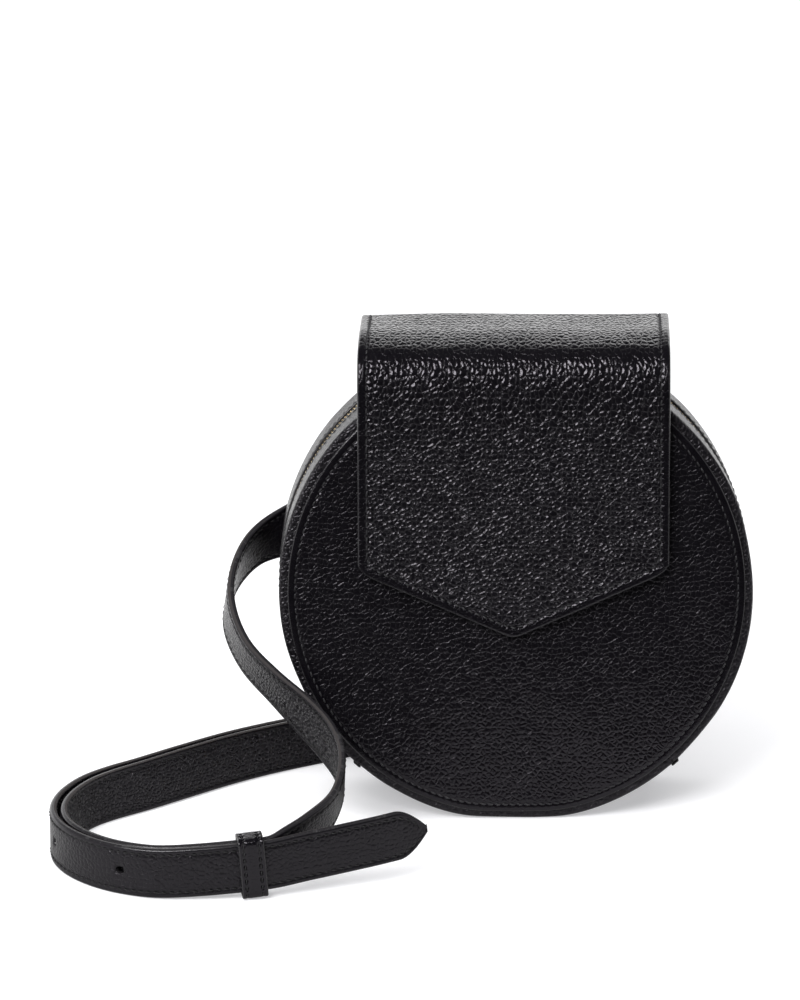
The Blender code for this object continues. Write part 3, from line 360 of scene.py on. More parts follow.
class Piece:
    """Gathers the surfaces of one piece, with a place on the hide for every point."""

    def __init__(self, name, *skins):
        self.name = name
        self.skins = skins
        self.points = []
        self.places = []
        self.pressed = []
        self.faces = []
        self.skin_of = []
        self.count = 0

    def add(self, points, faces, places, skin, pressed=0.0):
        points = np.asarray(points, float).reshape(-1, 3)
        self.points.append(points)
        self.places.append(np.asarray(places, float).reshape(-1, 2))
        self.pressed.append(np.broadcast_to(np.asarray(pressed, float).reshape(-1), (len(points),)))
        skins = np.broadcast_to(np.asarray(skin), (len(faces),))
        self.skin_of.extend(int(s) for s in skins)
        self.faces.extend([tuple(int(k) + self.count for k in face) for face in faces])
        self.count += len(points)

    def sheet(self, line, outs, front, back, places, pressed, skins, ring=False, gone=None):
        """A closed sheet over a grid of points: front and back are its faces' distances along outs,
        skins are the materials of front, back and rim, and gone marks the cells cut out of it."""
        rows, columns = line.shape[:2]
        front = np.broadcast_to(front, (rows, columns))[..., None]
        back = np.broadcast_to(back, (rows, columns))[..., None]
        i = np.arange(rows if ring else rows - 1)
        j = np.arange(columns - 1)
        a = i[:, None] * columns + j
        b = ((i + 1) % rows)[:, None] * columns + j
        cells = np.stack([a, b, b + 1, a + 1], axis=-1)
        kept = np.ones(a.shape, bool) if gone is None else ~gone
        points = np.concatenate([(line + front * outs).reshape(-1, 3), (line + back * outs).reshape(-1, 3)])
        low = rows * columns
        first = cells[kept]
        faces = [first, first[:, ::-1] + low]
        front_skin = np.broadcast_to(skins[0], kept.shape)[kept]
        labels = [front_skin, np.full(len(first), skins[1])]
        walled = np.zeros((kept.shape[0] + 2, kept.shape[1] + 2), bool)
        walled[1:-1, 1:-1] = kept
        if ring:
            walled[0, 1:-1] = kept[-1]
            walled[-1, 1:-1] = kept[0]
        sides = (
            (walled[:-2, 1:-1], 0, 3), (walled[2:, 1:-1], 2, 1),
            (walled[1:-1, :-2], 1, 0), (walled[1:-1, 2:], 3, 2),
        )
        for neighbour, p, q in sides:
            open_cells = cells[kept & ~neighbour]
            u, v = open_cells[:, p], open_cells[:, q]
            faces.append(np.stack([u, v, v + low, u + low], axis=-1))
            labels.append(np.full(len(u), skins[2]))
        faces = np.concatenate(faces)
        places = np.broadcast_to(places, (rows, columns, 2)).reshape(-1, 2)
        pressed = np.broadcast_to(pressed, (rows, columns)).reshape(-1)
        self.add(
            points, faces.tolist(), np.concatenate([places, places]), np.concatenate(labels),
            np.concatenate([pressed, pressed]),
        )

    def stitches(self, path, outs, skin, pitch=STITCH_PITCH, closed=False):
        """One stitch after another along a path, each going down into its holes."""
        if closed:
            path = np.concatenate([path, path[:1]])
            outs = np.concatenate([outs, outs[:1]])
        marks = spread(path)
        count = max(1, round(marks[-1] / pitch))
        step = marks[-1] / count
        middles = (np.arange(count) + 0.5) * step
        reach = step * STITCH_SHARE / 2
        start = sampled(path, marks, middles - reach)
        end = sampled(path, marks, middles + reach)
        out = unit(sampled(outs, marks, middles))
        side = unit(np.cross(out, end - start))
        start = start + THREAD_SLANT * side
        end = end - THREAD_SLANT * side
        t = np.linspace(0.0, 1.0, THREAD_RINGS)[None, :, None]
        arch = np.sin(math.pi * t) ** 0.7
        lift = THREAD_RISE * arch - THREAD_SINK
        middle = start[:, None] + (end - start)[:, None] * t + lift * out[:, None]
        roll = 2 * math.pi * np.arange(THREAD_SIDES) / THREAD_SIDES
        radius = THREAD_RADIUS * (0.6 + 0.4 * arch)
        around = (
            np.cos(roll)[None, None, :, None] * side[:, None, None]
            + np.sin(roll)[None, None, :, None] * out[:, None, None]
        )
        points = middle[:, :, None] + radius[..., None] * around
        faces = []
        size = THREAD_RINGS * THREAD_SIDES
        for k in range(count):
            base = k * size
            for r in range(THREAD_RINGS - 1):
                for c in range(THREAD_SIDES):
                    d = (c + 1) % THREAD_SIDES
                    p = base + r * THREAD_SIDES
                    faces.append((p + c, p + d, p + THREAD_SIDES + d, p + THREAD_SIDES + c))
            faces.append(tuple(base + c for c in reversed(range(THREAD_SIDES))))
            faces.append(tuple(base + size - THREAD_SIDES + c for c in range(THREAD_SIDES)))
        along = (middles[:, None] + (t[0, :, 0] * 2 - 1) * reach)[..., None]
        places = np.stack(np.broadcast_arrays(along, (roll * THREAD_RADIUS)[None, None]), axis=-1)
        self.add(points, faces, places, skin)

    def tube(self, loops, skin, closed=False, places=None):
        """A skin over loops of points, closed at its ends or joined into a ring."""
        loops = np.asarray(loops, float)
        count, sides = loops.shape[:2]
        faces = []
        for k in range(count if closed else count - 1):
            here, there = k * sides, (k + 1) % count * sides
            for c in range(sides):
                d = (c + 1) % sides
                faces.append((here + c, there + c, there + d, here + d))
        if not closed:
            faces.append(tuple(range(sides)))
            faces.append(tuple(reversed(range((count - 1) * sides, count * sides))))
        if places is None:
            along = spread(loops.mean(axis=1))
            around = spread(loops[0])
            places = np.stack(np.broadcast_arrays(along[:, None], around[None]), axis=-1)
        self.add(loops, faces, places, skin)

    def block(self, middle, sides, half, radius, skin, steps=4):
        """A box with rounded edges, from its middle, its three directions and half sizes."""
        ticks = np.tan(np.linspace(-1, 1, 2 * steps + 1) * math.pi / 4)
        sides = np.asarray(sides, float)
        half = np.asarray(half, float)
        for axis in range(3):
            for way in (-1, 1):
                a, b = np.meshgrid(ticks, ticks, indexing="ij")
                cube = np.stack([a, b], axis=-1)
                cube = np.insert(cube, axis, way, axis=-1)
                ball = unit(cube)
                local = np.sign(np.round(cube, 9)) * (half - radius) + radius * ball
                flat = np.abs(cube) < 1 - TINY
                local = np.where(flat, cube * (half - radius) + radius * ball, local)
                points = middle + local @ sides
                size = len(ticks)
                i = np.arange(size - 1)
                p = i[:, None] * size + i
                faces = np.stack([p, p + size, p + size + 1, p + 1], axis=-1).reshape(-1, 4)
                self.add(points, faces.tolist(), np.stack([a, b], axis=-1) * half[0], skin)

    def finish(self, body, slot, *nodes, sharp=55.0):
        mesh = bpy.data.meshes.new(self.name)
        points = np.concatenate(self.points)
        mesh.from_pydata(points.tolist(), [], self.faces)
        for skin in self.skins:
            mesh.materials.append(skin)
        mesh.polygons.foreach_set("material_index", np.array(self.skin_of, np.int32))
        corner_points = np.zeros(len(mesh.loops), np.int32)
        mesh.loops.foreach_get("vertex_index", corner_points)
        layer = mesh.uv_layers.new(name="hide")
        layer.data.foreach_set("uv", np.concatenate(self.places)[corner_points].astype(np.float32).ravel())
        pressed = mesh.attributes.new("pressed", "FLOAT", "POINT")
        pressed.data.foreach_set("value", np.concatenate(self.pressed).astype(np.float32))
        welded = bmesh.new()
        welded.from_mesh(mesh)
        bmesh.ops.remove_doubles(welded, verts=welded.verts, dist=WELD)
        bmesh.ops.recalc_face_normals(welded, faces=welded.faces)
        welded.to_mesh(mesh)
        welded.free()
        mesh.shade_smooth()
        mesh.set_sharp_from_angle(angle=math.radians(sharp))
        made = bpy.data.objects.new(self.name, mesh)
        bpy.context.scene.collection.objects.link(made)
        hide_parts(*nodes)
        if isinstance(body, str):
            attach(made, body)
        else:
            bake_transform(made)
        return made


# Materials by their place in a piece's list
FACE, BACK, RIM, THREAD = range(4)
PAINT_REACH = 0.0006
PRESS_RUN = 0.0022


def press(inset, row):
    """How flat the grain lies: pressed between the edge and the row of stitches."""
    return np.clip((row + PRESS_RUN - inset) / PRESS_RUN, 0.0, 1.0)


def painted(insets):
    """The material of each column of cells: the rim's near the edge."""
    middles = (insets[1:] + insets[:-1]) / 2
    return np.where(middles < PAINT_REACH, RIM, FACE)


def edge_insets(inner, *more):
    """Columns from an edge inwards: close together beside it, then at the further insets."""
    return np.array([step for step in EDGE_STEPS if step < inner] + [inner, *more])


# The round panels
PANEL_RADIUS = BAG_RADIUS - PANEL_INSET
PANEL_COLUMNS = tuple(share * PANEL_RADIUS for share in (
    0.075, 0.092, 0.115, 0.15, 0.19, 0.24, 0.3, 0.37, 0.45, 0.54, 0.64, 0.75, 0.86, 0.94, 1.0))
BELLY = 0.0013
BELLY_UP = -0.036
BELLY_SPREAD = (0.056, 0.034)
SEAM_PULL = 0.0005
SEAM_PULL_REACH = 0.006


def belly(across, up, way):
    """How far a panel swells from its flat face: most in its lower half, drawn in at its seam."""
    rise = np.exp(-((across / BELLY_SPREAD[0]) ** 2) - ((up - BELLY_UP) / BELLY_SPREAD[1]) ** 2)
    inset = PANEL_RADIUS - np.hypot(across, up)
    drawn = np.clip(1.0 - inset / SEAM_PULL_REACH, 0.0, 1.0) ** 2
    return (BELLY * rise if way < 0 else 0.0) + slack(across, up) - SEAM_PULL * drawn


def round_panel(name, node, way, skins):
    """A round leather panel with its painted edge and ring of stitches; way is -1 for the front."""
    seam = 2 * math.pi * (PANEL_RADIUS - PANEL_STITCH_INSET)
    count = round(seam / STITCH_PITCH) * ROWS_IN_STITCH
    angle = (2 * math.pi * np.arange(count) / count)[:, None]
    insets = edge_insets(0.0058, *PANEL_COLUMNS)
    face = 0.0 if way < 0 else BAG_DEPTH
    radius = np.maximum(ring_radius(angle, face) - PANEL_INSET - insets, 0.0)
    across, up = radius * np.cos(angle), radius * np.sin(angle)
    line = in_bag(across, face + way * belly(across, up, way), up)
    outs = outward(line, True)
    outs[:, -1] = outs[:, -2].mean(axis=0)
    along = angle * seam / (2 * math.pi)
    front = -rolled(insets, PANEL_ROLL) - channel(insets, PANEL_STITCH_INSET, along)
    back = rolled(insets, PANEL_ROLL) - PANEL_LEATHER
    piece = Piece(name, *skins)
    places = np.stack([across, up], axis=-1)
    piece.sheet(
        line, outs, front, np.broadcast_to(back, front.shape), places,
        press(insets, PANEL_STITCH_INSET), (painted(insets), BACK, RIM), ring=True,
    )
    surface = np.swapaxes(line + front[..., None] * outs, 0, 1)
    path = sampled(surface, insets, PANEL_STITCH_INSET)
    piece.stitches(path, sampled(np.swapaxes(outs, 0, 1), insets, PANEL_STITCH_INSET), THREAD, closed=True)
    return piece.finish("bag", "leather", node)


LINING_NEAR = FLANGE_FACE + GUSSET_LEATHER + SEAM_GAP
LINING_SCALES = np.array((1.0, 0.9995, 0.998, 0.994, 0.97, 0.9, 0.72, 0.4, 0.0005))


def round_lining(name, node, near, skins, radius=0.0, top=BAG_RADIUS):
    """A flat round piece of lining, or the pocket of this radius with its straight top."""
    angle = math.radians(2.0) * np.arange(180)[:, None]
    full = radius or ring_radius(angle, near) - GUSSET_LEATHER - SEAM_GAP
    across, up = full * np.cos(angle), np.minimum(full * np.sin(angle), top)
    middle = (up.max() + up.min()) / 2
    across, up = across * LINING_SCALES, middle + (up - middle) * LINING_SCALES
    inset = (1.0 - LINING_SCALES) * BAG_RADIUS
    line = in_bag(across, near + 0.3 * slack(across, up), up)
    outs = np.broadcast_to(unit(in_bag(0.0, -1.0, 0.0) - in_bag(0.0, 0.0, 0.0)), line.shape)
    fall = rolled(inset, LINING / 2)
    piece = Piece(name, *skins)
    places = np.stack([across, up], axis=-1)
    piece.sheet(line, outs, -fall, fall - LINING, places, 0.0, (FACE, FACE, FACE), ring=True)
    return piece.finish("bag", "lining_fabric", node)


# The gusset
STRIP_END = math.pi + ZIP_END_ANGLE
SEAM_ANGLE = SEAM_GAP / BAG_RADIUS
WALL_COLUMNS = 7


def strip_line(reach, edge):
    """The outer line of the gusset's front half: up its flange, round the corner and along to this
    depth, as depths, insets and the distances left to the end, with close columns at an edge."""
    flange = np.linspace(PANEL_INSET + FLANGE_WIDTH, CORNER_RADIUS, 5)[:-1]
    turn = np.linspace(0.0, math.pi / 2, 7)
    depth = [FLANGE_FACE + 0 * flange, FLANGE_FACE + CORNER_RADIUS * (1 - np.cos(turn))]
    inset = [flange, CORNER_RADIUS * (1 - np.sin(turn))]
    close = np.array(EDGE_STEPS[:14])[::-1] if edge else np.zeros(1)
    wall = np.linspace(FLANGE_FACE + CORNER_RADIUS, reach - close[0], WALL_COLUMNS)[1:-1]
    depth += [wall, reach - close]
    inset += [0 * wall, 0 * close]
    depth, inset = np.concatenate(depth), np.concatenate(inset)
    steps = np.hypot(np.diff(depth), np.diff(inset))
    along = np.concatenate([[0.0], np.cumsum(steps)])
    return depth, inset, along[-1] - along


def gusset_angles(start, end, step):
    return np.linspace(start, end, round((end - start) * BAG_RADIUS / step) + 1)[:, None]


def zip_strip(name, node, way, skins):
    """One of the two strips beside the zip, turned in behind its panel; way is -1 for the front."""
    reach = ZIP_MIDDLE - ZIP_WINDOW / 2
    depth, inset, left = strip_line(reach, True)
    if way > 0:
        depth = BAG_DEPTH - depth
    angle = gusset_angles(-ZIP_END_ANGLE, STRIP_END, STITCH_PITCH / ROWS_IN_STITCH)
    around = angle * BAG_RADIUS
    give = 1.5 * slack(around, depth) * np.clip(left / 0.004, 0.0, 1.0)
    line = on_ring(angle, depth, np.maximum(inset + give, 0.0))
    outs = outward(line, False)
    front = -rolled(left, GUSSET_ROLL) - channel(left, GUSSET_STITCH_INSET, around)
    back = np.broadcast_to(rolled(left, GUSSET_ROLL) - GUSSET_LEATHER, front.shape)
    piece = Piece(name, *skins)
    places = np.stack(np.broadcast_arrays(around, left), axis=-1)
    middles = (left[1:] + left[:-1]) / 2
    labels = np.where(middles < PAINT_REACH, RIM, FACE)
    piece.sheet(line, outs, front, back, places, press(left, GUSSET_STITCH_INSET), (labels, BACK, RIM))
    surface = np.swapaxes(line + front[..., None] * outs, 0, 1)[::-1]
    path = sampled(surface, left[::-1], GUSSET_STITCH_INSET)
    square = sampled(np.swapaxes(outs, 0, 1)[::-1], left[::-1], GUSSET_STITCH_INSET)
    piece.stitches(path, square, THREAD)
    return piece.finish("bag", "leather", node)


def bottom_strip(skins):
    depth, inset, left = strip_line(ZIP_MIDDLE, False)
    depth = np.concatenate([depth, BAG_DEPTH - depth[-2::-1]])
    inset = np.concatenate([inset, inset[-2::-1]])
    across = np.concatenate([-left, left[-2::-1]])
    start, end = STRIP_END + SEAM_ANGLE, 2 * math.pi - ZIP_END_ANGLE - SEAM_ANGLE
    angle = gusset_angles(start, end, 0.0015)
    around = angle * BAG_RADIUS
    give = np.clip(1.5 * slack(around, depth), 0.0, 1.0)
    line = on_ring(angle, depth, inset + give)
    outs = outward(line, False)
    piece = Piece("bottom_gusset_leather", *skins)
    places = np.stack(np.broadcast_arrays(around, across), axis=-1)
    piece.sheet(line, outs, 0.0, -GUSSET_LEATHER, places, 0.0, (FACE, BACK, RIM))
    return piece.finish("bag", "leather", "bottom_gusset")


def end_tab(name, node, middle, skins):
    """The small leather piece sewn across the gusset at an end of the zip."""
    half = TAB_WIDTH / 2
    near = FLANGE_FACE + CORNER_RADIUS
    steps = np.array([0.0, 0.05, 0.2, 0.45, 0.8, 1.2]) / 1000
    aside = np.concatenate([-half + steps, [0.0], half - steps[::-1]])
    depth = np.linspace(near, BAG_DEPTH - near, 60)[:, None]
    ends = np.minimum(depth - near, BAG_DEPTH - near - depth)
    inset = np.minimum(half - np.abs(aside), ends)
    line = on_ring(middle + aside / BAG_RADIUS, depth, -SEAM_GAP - TAB_THICKNESS)
    outs = outward(line, False)
    fall = rolled(inset, 0.0005)
    piece = Piece(name, *skins)
    places = np.stack(np.broadcast_arrays(depth, aside), axis=-1)
    piece.sheet(line, outs, -fall, np.minimum(fall - TAB_THICKNESS, -fall - 0.0002), places, 1.0,
                (FACE, BACK, RIM))
    row = line + (-fall - CHANNEL_DEPTH / 2)[..., None] * outs
    piece.stitches(row[3:-3, len(aside) // 2], outs[3:-3, len(aside) // 2], THREAD)
    return piece.finish("bag", "leather", node)


def gusset_lining(skins):
    """The lining inside the gusset: a strip on each side of the zip and one below it."""
    wall = GUSSET_LEATHER + SEAM_GAP + LINING + SEAM_GAP
    near = FLANGE_FACE + GUSSET_LEATHER + LINING + 2 * SEAM_GAP
    edge = ZIP_MIDDLE - ZIP_WINDOW / 2 - SEAM_GAP
    depth = np.array([near, near + 0.004, edge - 0.004, edge, BAG_DEPTH - edge, BAG_DEPTH - near - 0.004,
                      BAG_DEPTH - near])
    steps = 180
    angle = (2 * math.pi * np.arange(steps) / steps)[:, None]
    line = on_ring(angle, depth, wall)
    middle = angle + math.pi / steps
    zipped = (middle > 2 * math.pi - ZIP_END_ANGLE) | (middle < STRIP_END)
    window = zipped & (np.arange(len(depth) - 1) == 3)
    piece = Piece("gusset_lining_fabric", *skins)
    places = np.stack(np.broadcast_arrays(angle * BAG_RADIUS, depth), axis=-1)
    piece.sheet(line, outward(line, True), 0.0, -LINING, places, 0.0, (FACE, FACE, FACE), True, window)
    return piece.finish("bag", "lining_fabric", "gusset_lining")


# The zip
TAPE_END = ZIP_MIDDLE - TEETH_SLOT / 2 - TEETH_WIDTH - SEAM_GAP
TOOTH_REACH = 0.0004


def zip_tape(name, node, way, skins):
    depth = np.linspace(TAPE_END - TAPE_WIDTH, TAPE_END, 9)
    if way > 0:
        depth = BAG_DEPTH - depth
    angle = gusset_angles(SEAM_ANGLE - ZIP_END_ANGLE, STRIP_END - SEAM_ANGLE, 0.0025)
    line = on_ring(angle, depth, GUSSET_LEATHER + SEAM_GAP)
    piece = Piece(name, *skins)
    places = np.stack(np.broadcast_arrays(angle * BAG_RADIUS, depth), axis=-1)
    piece.sheet(line, outward(line, False), 0.0, -LINING, places, 0.0, (FACE, FACE, FACE))
    return piece.finish("bag", "zip_tape", node)


def ring_frame(angle):
    """Centre of the zip line, with its tangent, axis and radial directions at this angle."""
    lean_up = np.array([0.0, math.sin(PANEL_LEAN), math.cos(PANEL_LEAN)])
    side = np.array([1.0, 0.0, 0.0])
    radial = math.cos(angle) * side + math.sin(angle) * lean_up
    tangent = math.sin(angle) * side - math.cos(angle) * lean_up
    axis = np.array([0.0, math.cos(PANEL_LEAN), -math.sin(PANEL_LEAN)])
    return in_bag(0.0, ZIP_MIDDLE, 0.0), tangent, axis, radial


# Where in its step a tooth of the front and of the back row stands, and how much of it it fills
TOOTH_PHASES = (0.27, 0.73)
TOOTH_FULLNESS = 0.74
TOOTH_ROUNDING = 0.00032


def zip_teeth(name, node, way, skin):
    """One row of teeth, each a rounded bar whose head reaches between two of the other row."""
    start, end = SEAM_ANGLE - ZIP_END_ANGLE, STRIP_END - SEAM_ANGLE
    count = round((end - start) * BAG_RADIUS / TOOTH_PITCH)
    step = (end - start) / count
    outer = TAPE_END + SEAM_GAP
    inner = ZIP_MIDDLE - TEETH_SLOT / 2 + TOOTH_REACH
    middle = (outer + inner) / 2
    piece = Piece(name, skin)
    for k in range(count):
        angle = start + (k + TOOTH_PHASES[0 if way < 0 else 1]) * step
        _, tangent, axis, radial = ring_frame(angle)
        at = on_ring(angle, ZIP_MIDDLE + way * (ZIP_MIDDLE - middle), TEETH_SUNK + TEETH_HEIGHT / 2)
        half = (TOOTH_LENGTH / 2 * TOOTH_FULLNESS, (inner - outer) / 2, TEETH_HEIGHT / 2)
        piece.block(at, (tangent, axis, radial), half, TOOTH_ROUNDING, FACE, steps=1)
    return piece.finish("bag", "gold_metal", node)


SLIDER_ANGLE = STRIP_END - (TAB_WIDTH / 2 + SLIDER_LENGTH / 2 + SEAM_GAP) / BAG_RADIUS
SLIDER_ROUNDING = 0.00038
BLADE_HALF_LENGTH, BLADE_HALF_THICKNESS, BLADE_ROUNDING = 0.0015, 0.00013, 0.0001
ARCH_SQUARE_RUN, ARCH_SQUARE_RISE = 0.55, 0.45


def bar_loops(path, square, half_wide, half_thick, sides=12):
    """Rounded sections along a path: square is the direction of their width."""
    run = unit(np.gradient(path, axis=0))
    wide = unit(square - np.sum(square * run, axis=-1, keepdims=True) * run)
    thick = np.cross(run, wide)
    roll = 2 * math.pi * np.arange(sides) / sides
    blunt = 0.7
    a = np.sign(np.cos(roll)) * np.abs(np.cos(roll)) ** blunt
    b = np.sign(np.sin(roll)) * np.abs(np.sin(roll)) ** blunt
    half_wide = np.broadcast_to(half_wide, (len(path),))[:, None, None]
    half_thick = np.broadcast_to(half_thick, (len(path),))[:, None, None]
    return (
        path[:, None]
        + half_wide * a[None, :, None] * wide[:, None]
        + half_thick * b[None, :, None] * thick[:, None]
    )


def zip_slider(skin):
    centre, tangent, axis, radial = ring_frame(SLIDER_ANGLE)
    teeth_top = BAG_RADIUS - TEETH_SUNK
    top_low = teeth_top + SLIDER_FLOAT
    low_top = teeth_top - TEETH_HEIGHT - SLIDER_FLOAT
    half_plate = SLIDER_PLATE / 2
    half = np.array([SLIDER_LENGTH / 2, SLIDER_WIDTH / 2, half_plate])
    sides = (tangent, axis, radial)
    piece = Piece("zip_slider_metal", skin)
    piece.block(centre + (top_low + half_plate) * radial, sides, half, SLIDER_ROUNDING, FACE)
    piece.block(centre + (low_top - half_plate) * radial, sides, half, SLIDER_ROUNDING, FACE)
    web = (top_low + low_top) / 2
    blade = (BLADE_HALF_LENGTH, BLADE_HALF_THICKNESS, web - low_top + half_plate)
    piece.block(centre + web * radial, sides, blade, BLADE_ROUNDING, FACE, 1)
    foot = ARCH_SPAN / 2 - ARCH_BAR / 2
    top = top_low + SLIDER_PLATE
    turn = np.linspace(0.0, math.pi, 17)
    square_turn = np.abs(np.cos(turn)) ** ARCH_SQUARE_RUN * np.sign(np.cos(turn))
    rise = (SLIDER_ARCH - ARCH_BAR / 2) * np.abs(np.sin(turn)) ** ARCH_SQUARE_RISE
    path = centre + (foot * square_turn)[:, None] * tangent + (top + rise)[:, None] * radial
    path = np.concatenate([path[:1] - half_plate * radial, path, path[-1:] - half_plate * radial])
    piece.tube(bar_loops(path, axis, ARCH_WIDTH / 2, ARCH_BAR / 2), FACE)
    return piece.finish("slider", "gold_metal", "zip_slider")


HOLE_SETTLE = 2.1


def punched(along, across, holes):
    """Moves the points round each hole so that its cut is an oval, and marks the cells cut out.
    Holes are (place along, half length, half width) on the middle line."""
    along, across = (np.array(v) for v in np.broadcast_arrays(along, across))
    gone = np.zeros((along.shape[0] - 1, along.shape[1] - 1), bool)
    near = np.full(along.shape, 1.0)
    middle_along = (along[1:, 1:] + along[:-1, :-1]) / 2
    middle_across = (across[1:, 1:] + across[:-1, :-1]) / 2
    for at, half_long, half_wide in holes:
        inside = np.maximum(abs(middle_along - at) / half_long, abs(middle_across) / half_wide)
        gone |= inside < 1.0
        a, b = (along - at) / half_long, across / half_wide
        square = np.maximum(np.abs(a), np.abs(b))
        scale = square / np.maximum(np.hypot(a, b), TINY)
        hold = np.clip((HOLE_SETTLE - square) / (HOLE_SETTLE - 1.0), 0.0, 1.0)
        scale = 1.0 + (scale - 1.0) * hold
        touched = square < HOLE_SETTLE
        along = np.where(touched, at + (along - at) * scale, along)
        across = np.where(touched, across * scale, across)
        near = np.where(touched, np.minimum(near, (square - 1.0) * half_wide), near)
    return along, across, gone, near


def zip_pull(skin):
    """A small flat pull with rounded ends, a hole, and rounded edges."""
    centre, tangent, axis, radial = ring_frame(SLIDER_ANGLE)
    top = BAG_RADIUS - TEETH_SUNK + SLIDER_FLOAT + SLIDER_PLATE
    pivot = centre + (top + (SLIDER_ARCH - ARCH_BAR) / 2) * radial
    first = -PULL_END_BAR / 2
    hole_at = (PULL_END_BAR + PULL_HOLE_LENGTH) / 2
    hole = (hole_at, PULL_HOLE_LENGTH / 2, PULL_HOLE_WIDTH / 2)
    marks = {first, PULL_LENGTH, hole_at - hole[1], hole_at + hole[1]}
    close = (0.00005, 0.00015, 0.0003)
    marks |= {first + c for c in close} | {PULL_LENGTH - c for c in close}
    marks |= set(np.arange(first + 0.0006, PULL_LENGTH - 0.0005, 0.00055))
    along = np.array(sorted(marks))[:, None]
    shares = np.array([0.0, 0.02, 0.06, 0.12, 0.2, 0.3, 0.4])
    hole_share = PULL_HOLE_WIDTH / PULL_WIDTH
    half = np.concatenate([1.0 - shares, [hole_share, hole_share / 2]])
    shares = np.concatenate([-half, [0.0], half[::-1]])
    end = np.clip((PULL_LENGTH - along) / (PULL_WIDTH / 2), 0.0, 1.0)
    start = np.clip((along - first) / 0.0012, 0.0, 1.0)
    waist = 1.0 - 0.16 * np.clip((along - hole_at) / PULL_LENGTH, 0.0, 1.0)
    reach = PULL_WIDTH / 2 * waist * np.sqrt(1 - (1 - end) ** 2 * 0.75) * np.sqrt(1 - (1 - start) ** 2 * 0.7)
    across = reach * shares
    run, aside, gone, near = punched(along, across, [hole])
    inset = np.minimum(reach - np.abs(across), np.minimum(along - first, PULL_LENGTH - along))
    fall = rolled(np.minimum(inset, np.maximum(near, 0.0)), 0.0004)
    line = pivot + run[..., None] * tangent + aside[..., None] * axis
    outs = np.broadcast_to(radial, line.shape)
    piece = Piece("zip_pull_metal", skin)
    half_thick = PULL_THICKNESS / 2
    places = np.stack([run, aside], axis=-1)
    piece.sheet(line, outs, half_thick - fall, fall - half_thick, places, 0.0, (FACE, FACE, FACE), gone=gone)
    return piece.finish("pull", "gold_metal", "zip_pull")


# The flap
FLAP_LINE_STEP = 0.0002
FLAP_ROUND_UP = (
    FLAP_TOP - FLAP_SHOULDER + (FLAP_SHOULDER - FLAP_FRONT_BEND) * math.sin(FLAP_SHOULDER_TURN)
    - (FLAP_ROUND - FLAP_FRONT_BEND) * math.sin(FLAP_ROUND_TURN)
)
FLAP_LOWEST_UP = -0.030
HEM_ROWS_UP = 0.030
HEM_CLOSE = 0.0080
HEM_CORNER_SHARE = 0.6
FLAP_COLUMN_STEP = 0.0014
FLAP_SLACK_SHARE, FLAP_SLACK_SPREAD = 0.8, 0.8
SEAM_STEP = 0.0005


def flap_line():
    """The flap's outer side from its seam on the back over the top and down the front, as points of
    depth and up at even steps."""
    turn = np.linspace(0.0, math.pi / 2, 24)
    rear = FLAP_BACK - FLAP_REAR_BEND
    parts = [
        np.array([[FLAP_BACK, FLAP_SEAM_UP]]),
        np.stack([rear + FLAP_REAR_BEND * np.cos(turn),
                  FLAP_REAR_FOLD_UP + FLAP_REAR_RISE + FLAP_REAR_BEND * np.sin(turn)], axis=-1),
    ]
    hub = np.array([FLAP_FRONT + FLAP_ROUND, FLAP_ROUND_UP])
    hubs = [hub]
    for radius, next_radius, angle in (
        (FLAP_ROUND, FLAP_FRONT_BEND, FLAP_ROUND_TURN),
        (FLAP_FRONT_BEND, FLAP_SHOULDER, FLAP_SHOULDER_TURN),
    ):
        slant = np.array([-math.cos(angle), math.sin(angle)])
        hubs.append(hubs[-1] + (radius - next_radius) * slant)
    share = np.linspace(0.0, 1.0, 40)[1:-1]
    top = parts[1][-1] + share[:, None] * (hubs[2] + [0.0, FLAP_SHOULDER] - parts[1][-1])
    parts.append(top)
    arcs = (
        (hubs[2], FLAP_SHOULDER, math.pi / 2, FLAP_SHOULDER_TURN),
        (hubs[1], FLAP_FRONT_BEND, FLAP_SHOULDER_TURN, FLAP_ROUND_TURN),
        (hubs[0], FLAP_ROUND, FLAP_ROUND_TURN, 0.0),
    )
    for middle, radius, start, end in arcs:
        angle = np.linspace(start, end, 40)[:-1]
        parts.append(middle + radius * np.stack([-np.cos(angle), np.sin(angle)], axis=-1))
    parts.append(np.array([[FLAP_FRONT, FLAP_LOWEST_UP]]))
    line = np.concatenate(parts)
    marks = spread(line)
    return sampled(line, marks, np.arange(0.0, marks[-1], FLAP_LINE_STEP))


FLAP_LINE = flap_line()
FLAP_MARKS = spread(FLAP_LINE)
FLAP_SLOPES = unit(np.gradient(FLAP_LINE, axis=0))
ON_TOP = (FLAP_LINE[:, 0] < FLAP_BACK - FLAP_REAR_BEND) & (FLAP_LINE[:, 0] > FLAP_FRONT + FLAP_FRONT_BEND)
FLAP_MIDDLE_MARK = FLAP_MARKS[ON_TOP].mean()
IN_FRONT = FLAP_LINE[:, 0] < FLAP_FRONT + FLAP_FRONT_BEND / 2
# How closely the grain is packed along the flap: fine on the top, stretched over the bend
GRAIN_MARKS = FLAP_MIDDLE_MARK + np.array([0.0, 0.016, 0.026, 0.036, 0.052, 0.070])
GRAIN_RATES = (0.62, 0.66, 0.70, 0.66, 0.92, 1.12)
GRAIN_PLACES = np.cumsum(np.interp(FLAP_MARKS, GRAIN_MARKS, GRAIN_RATES)) * FLAP_LINE_STEP


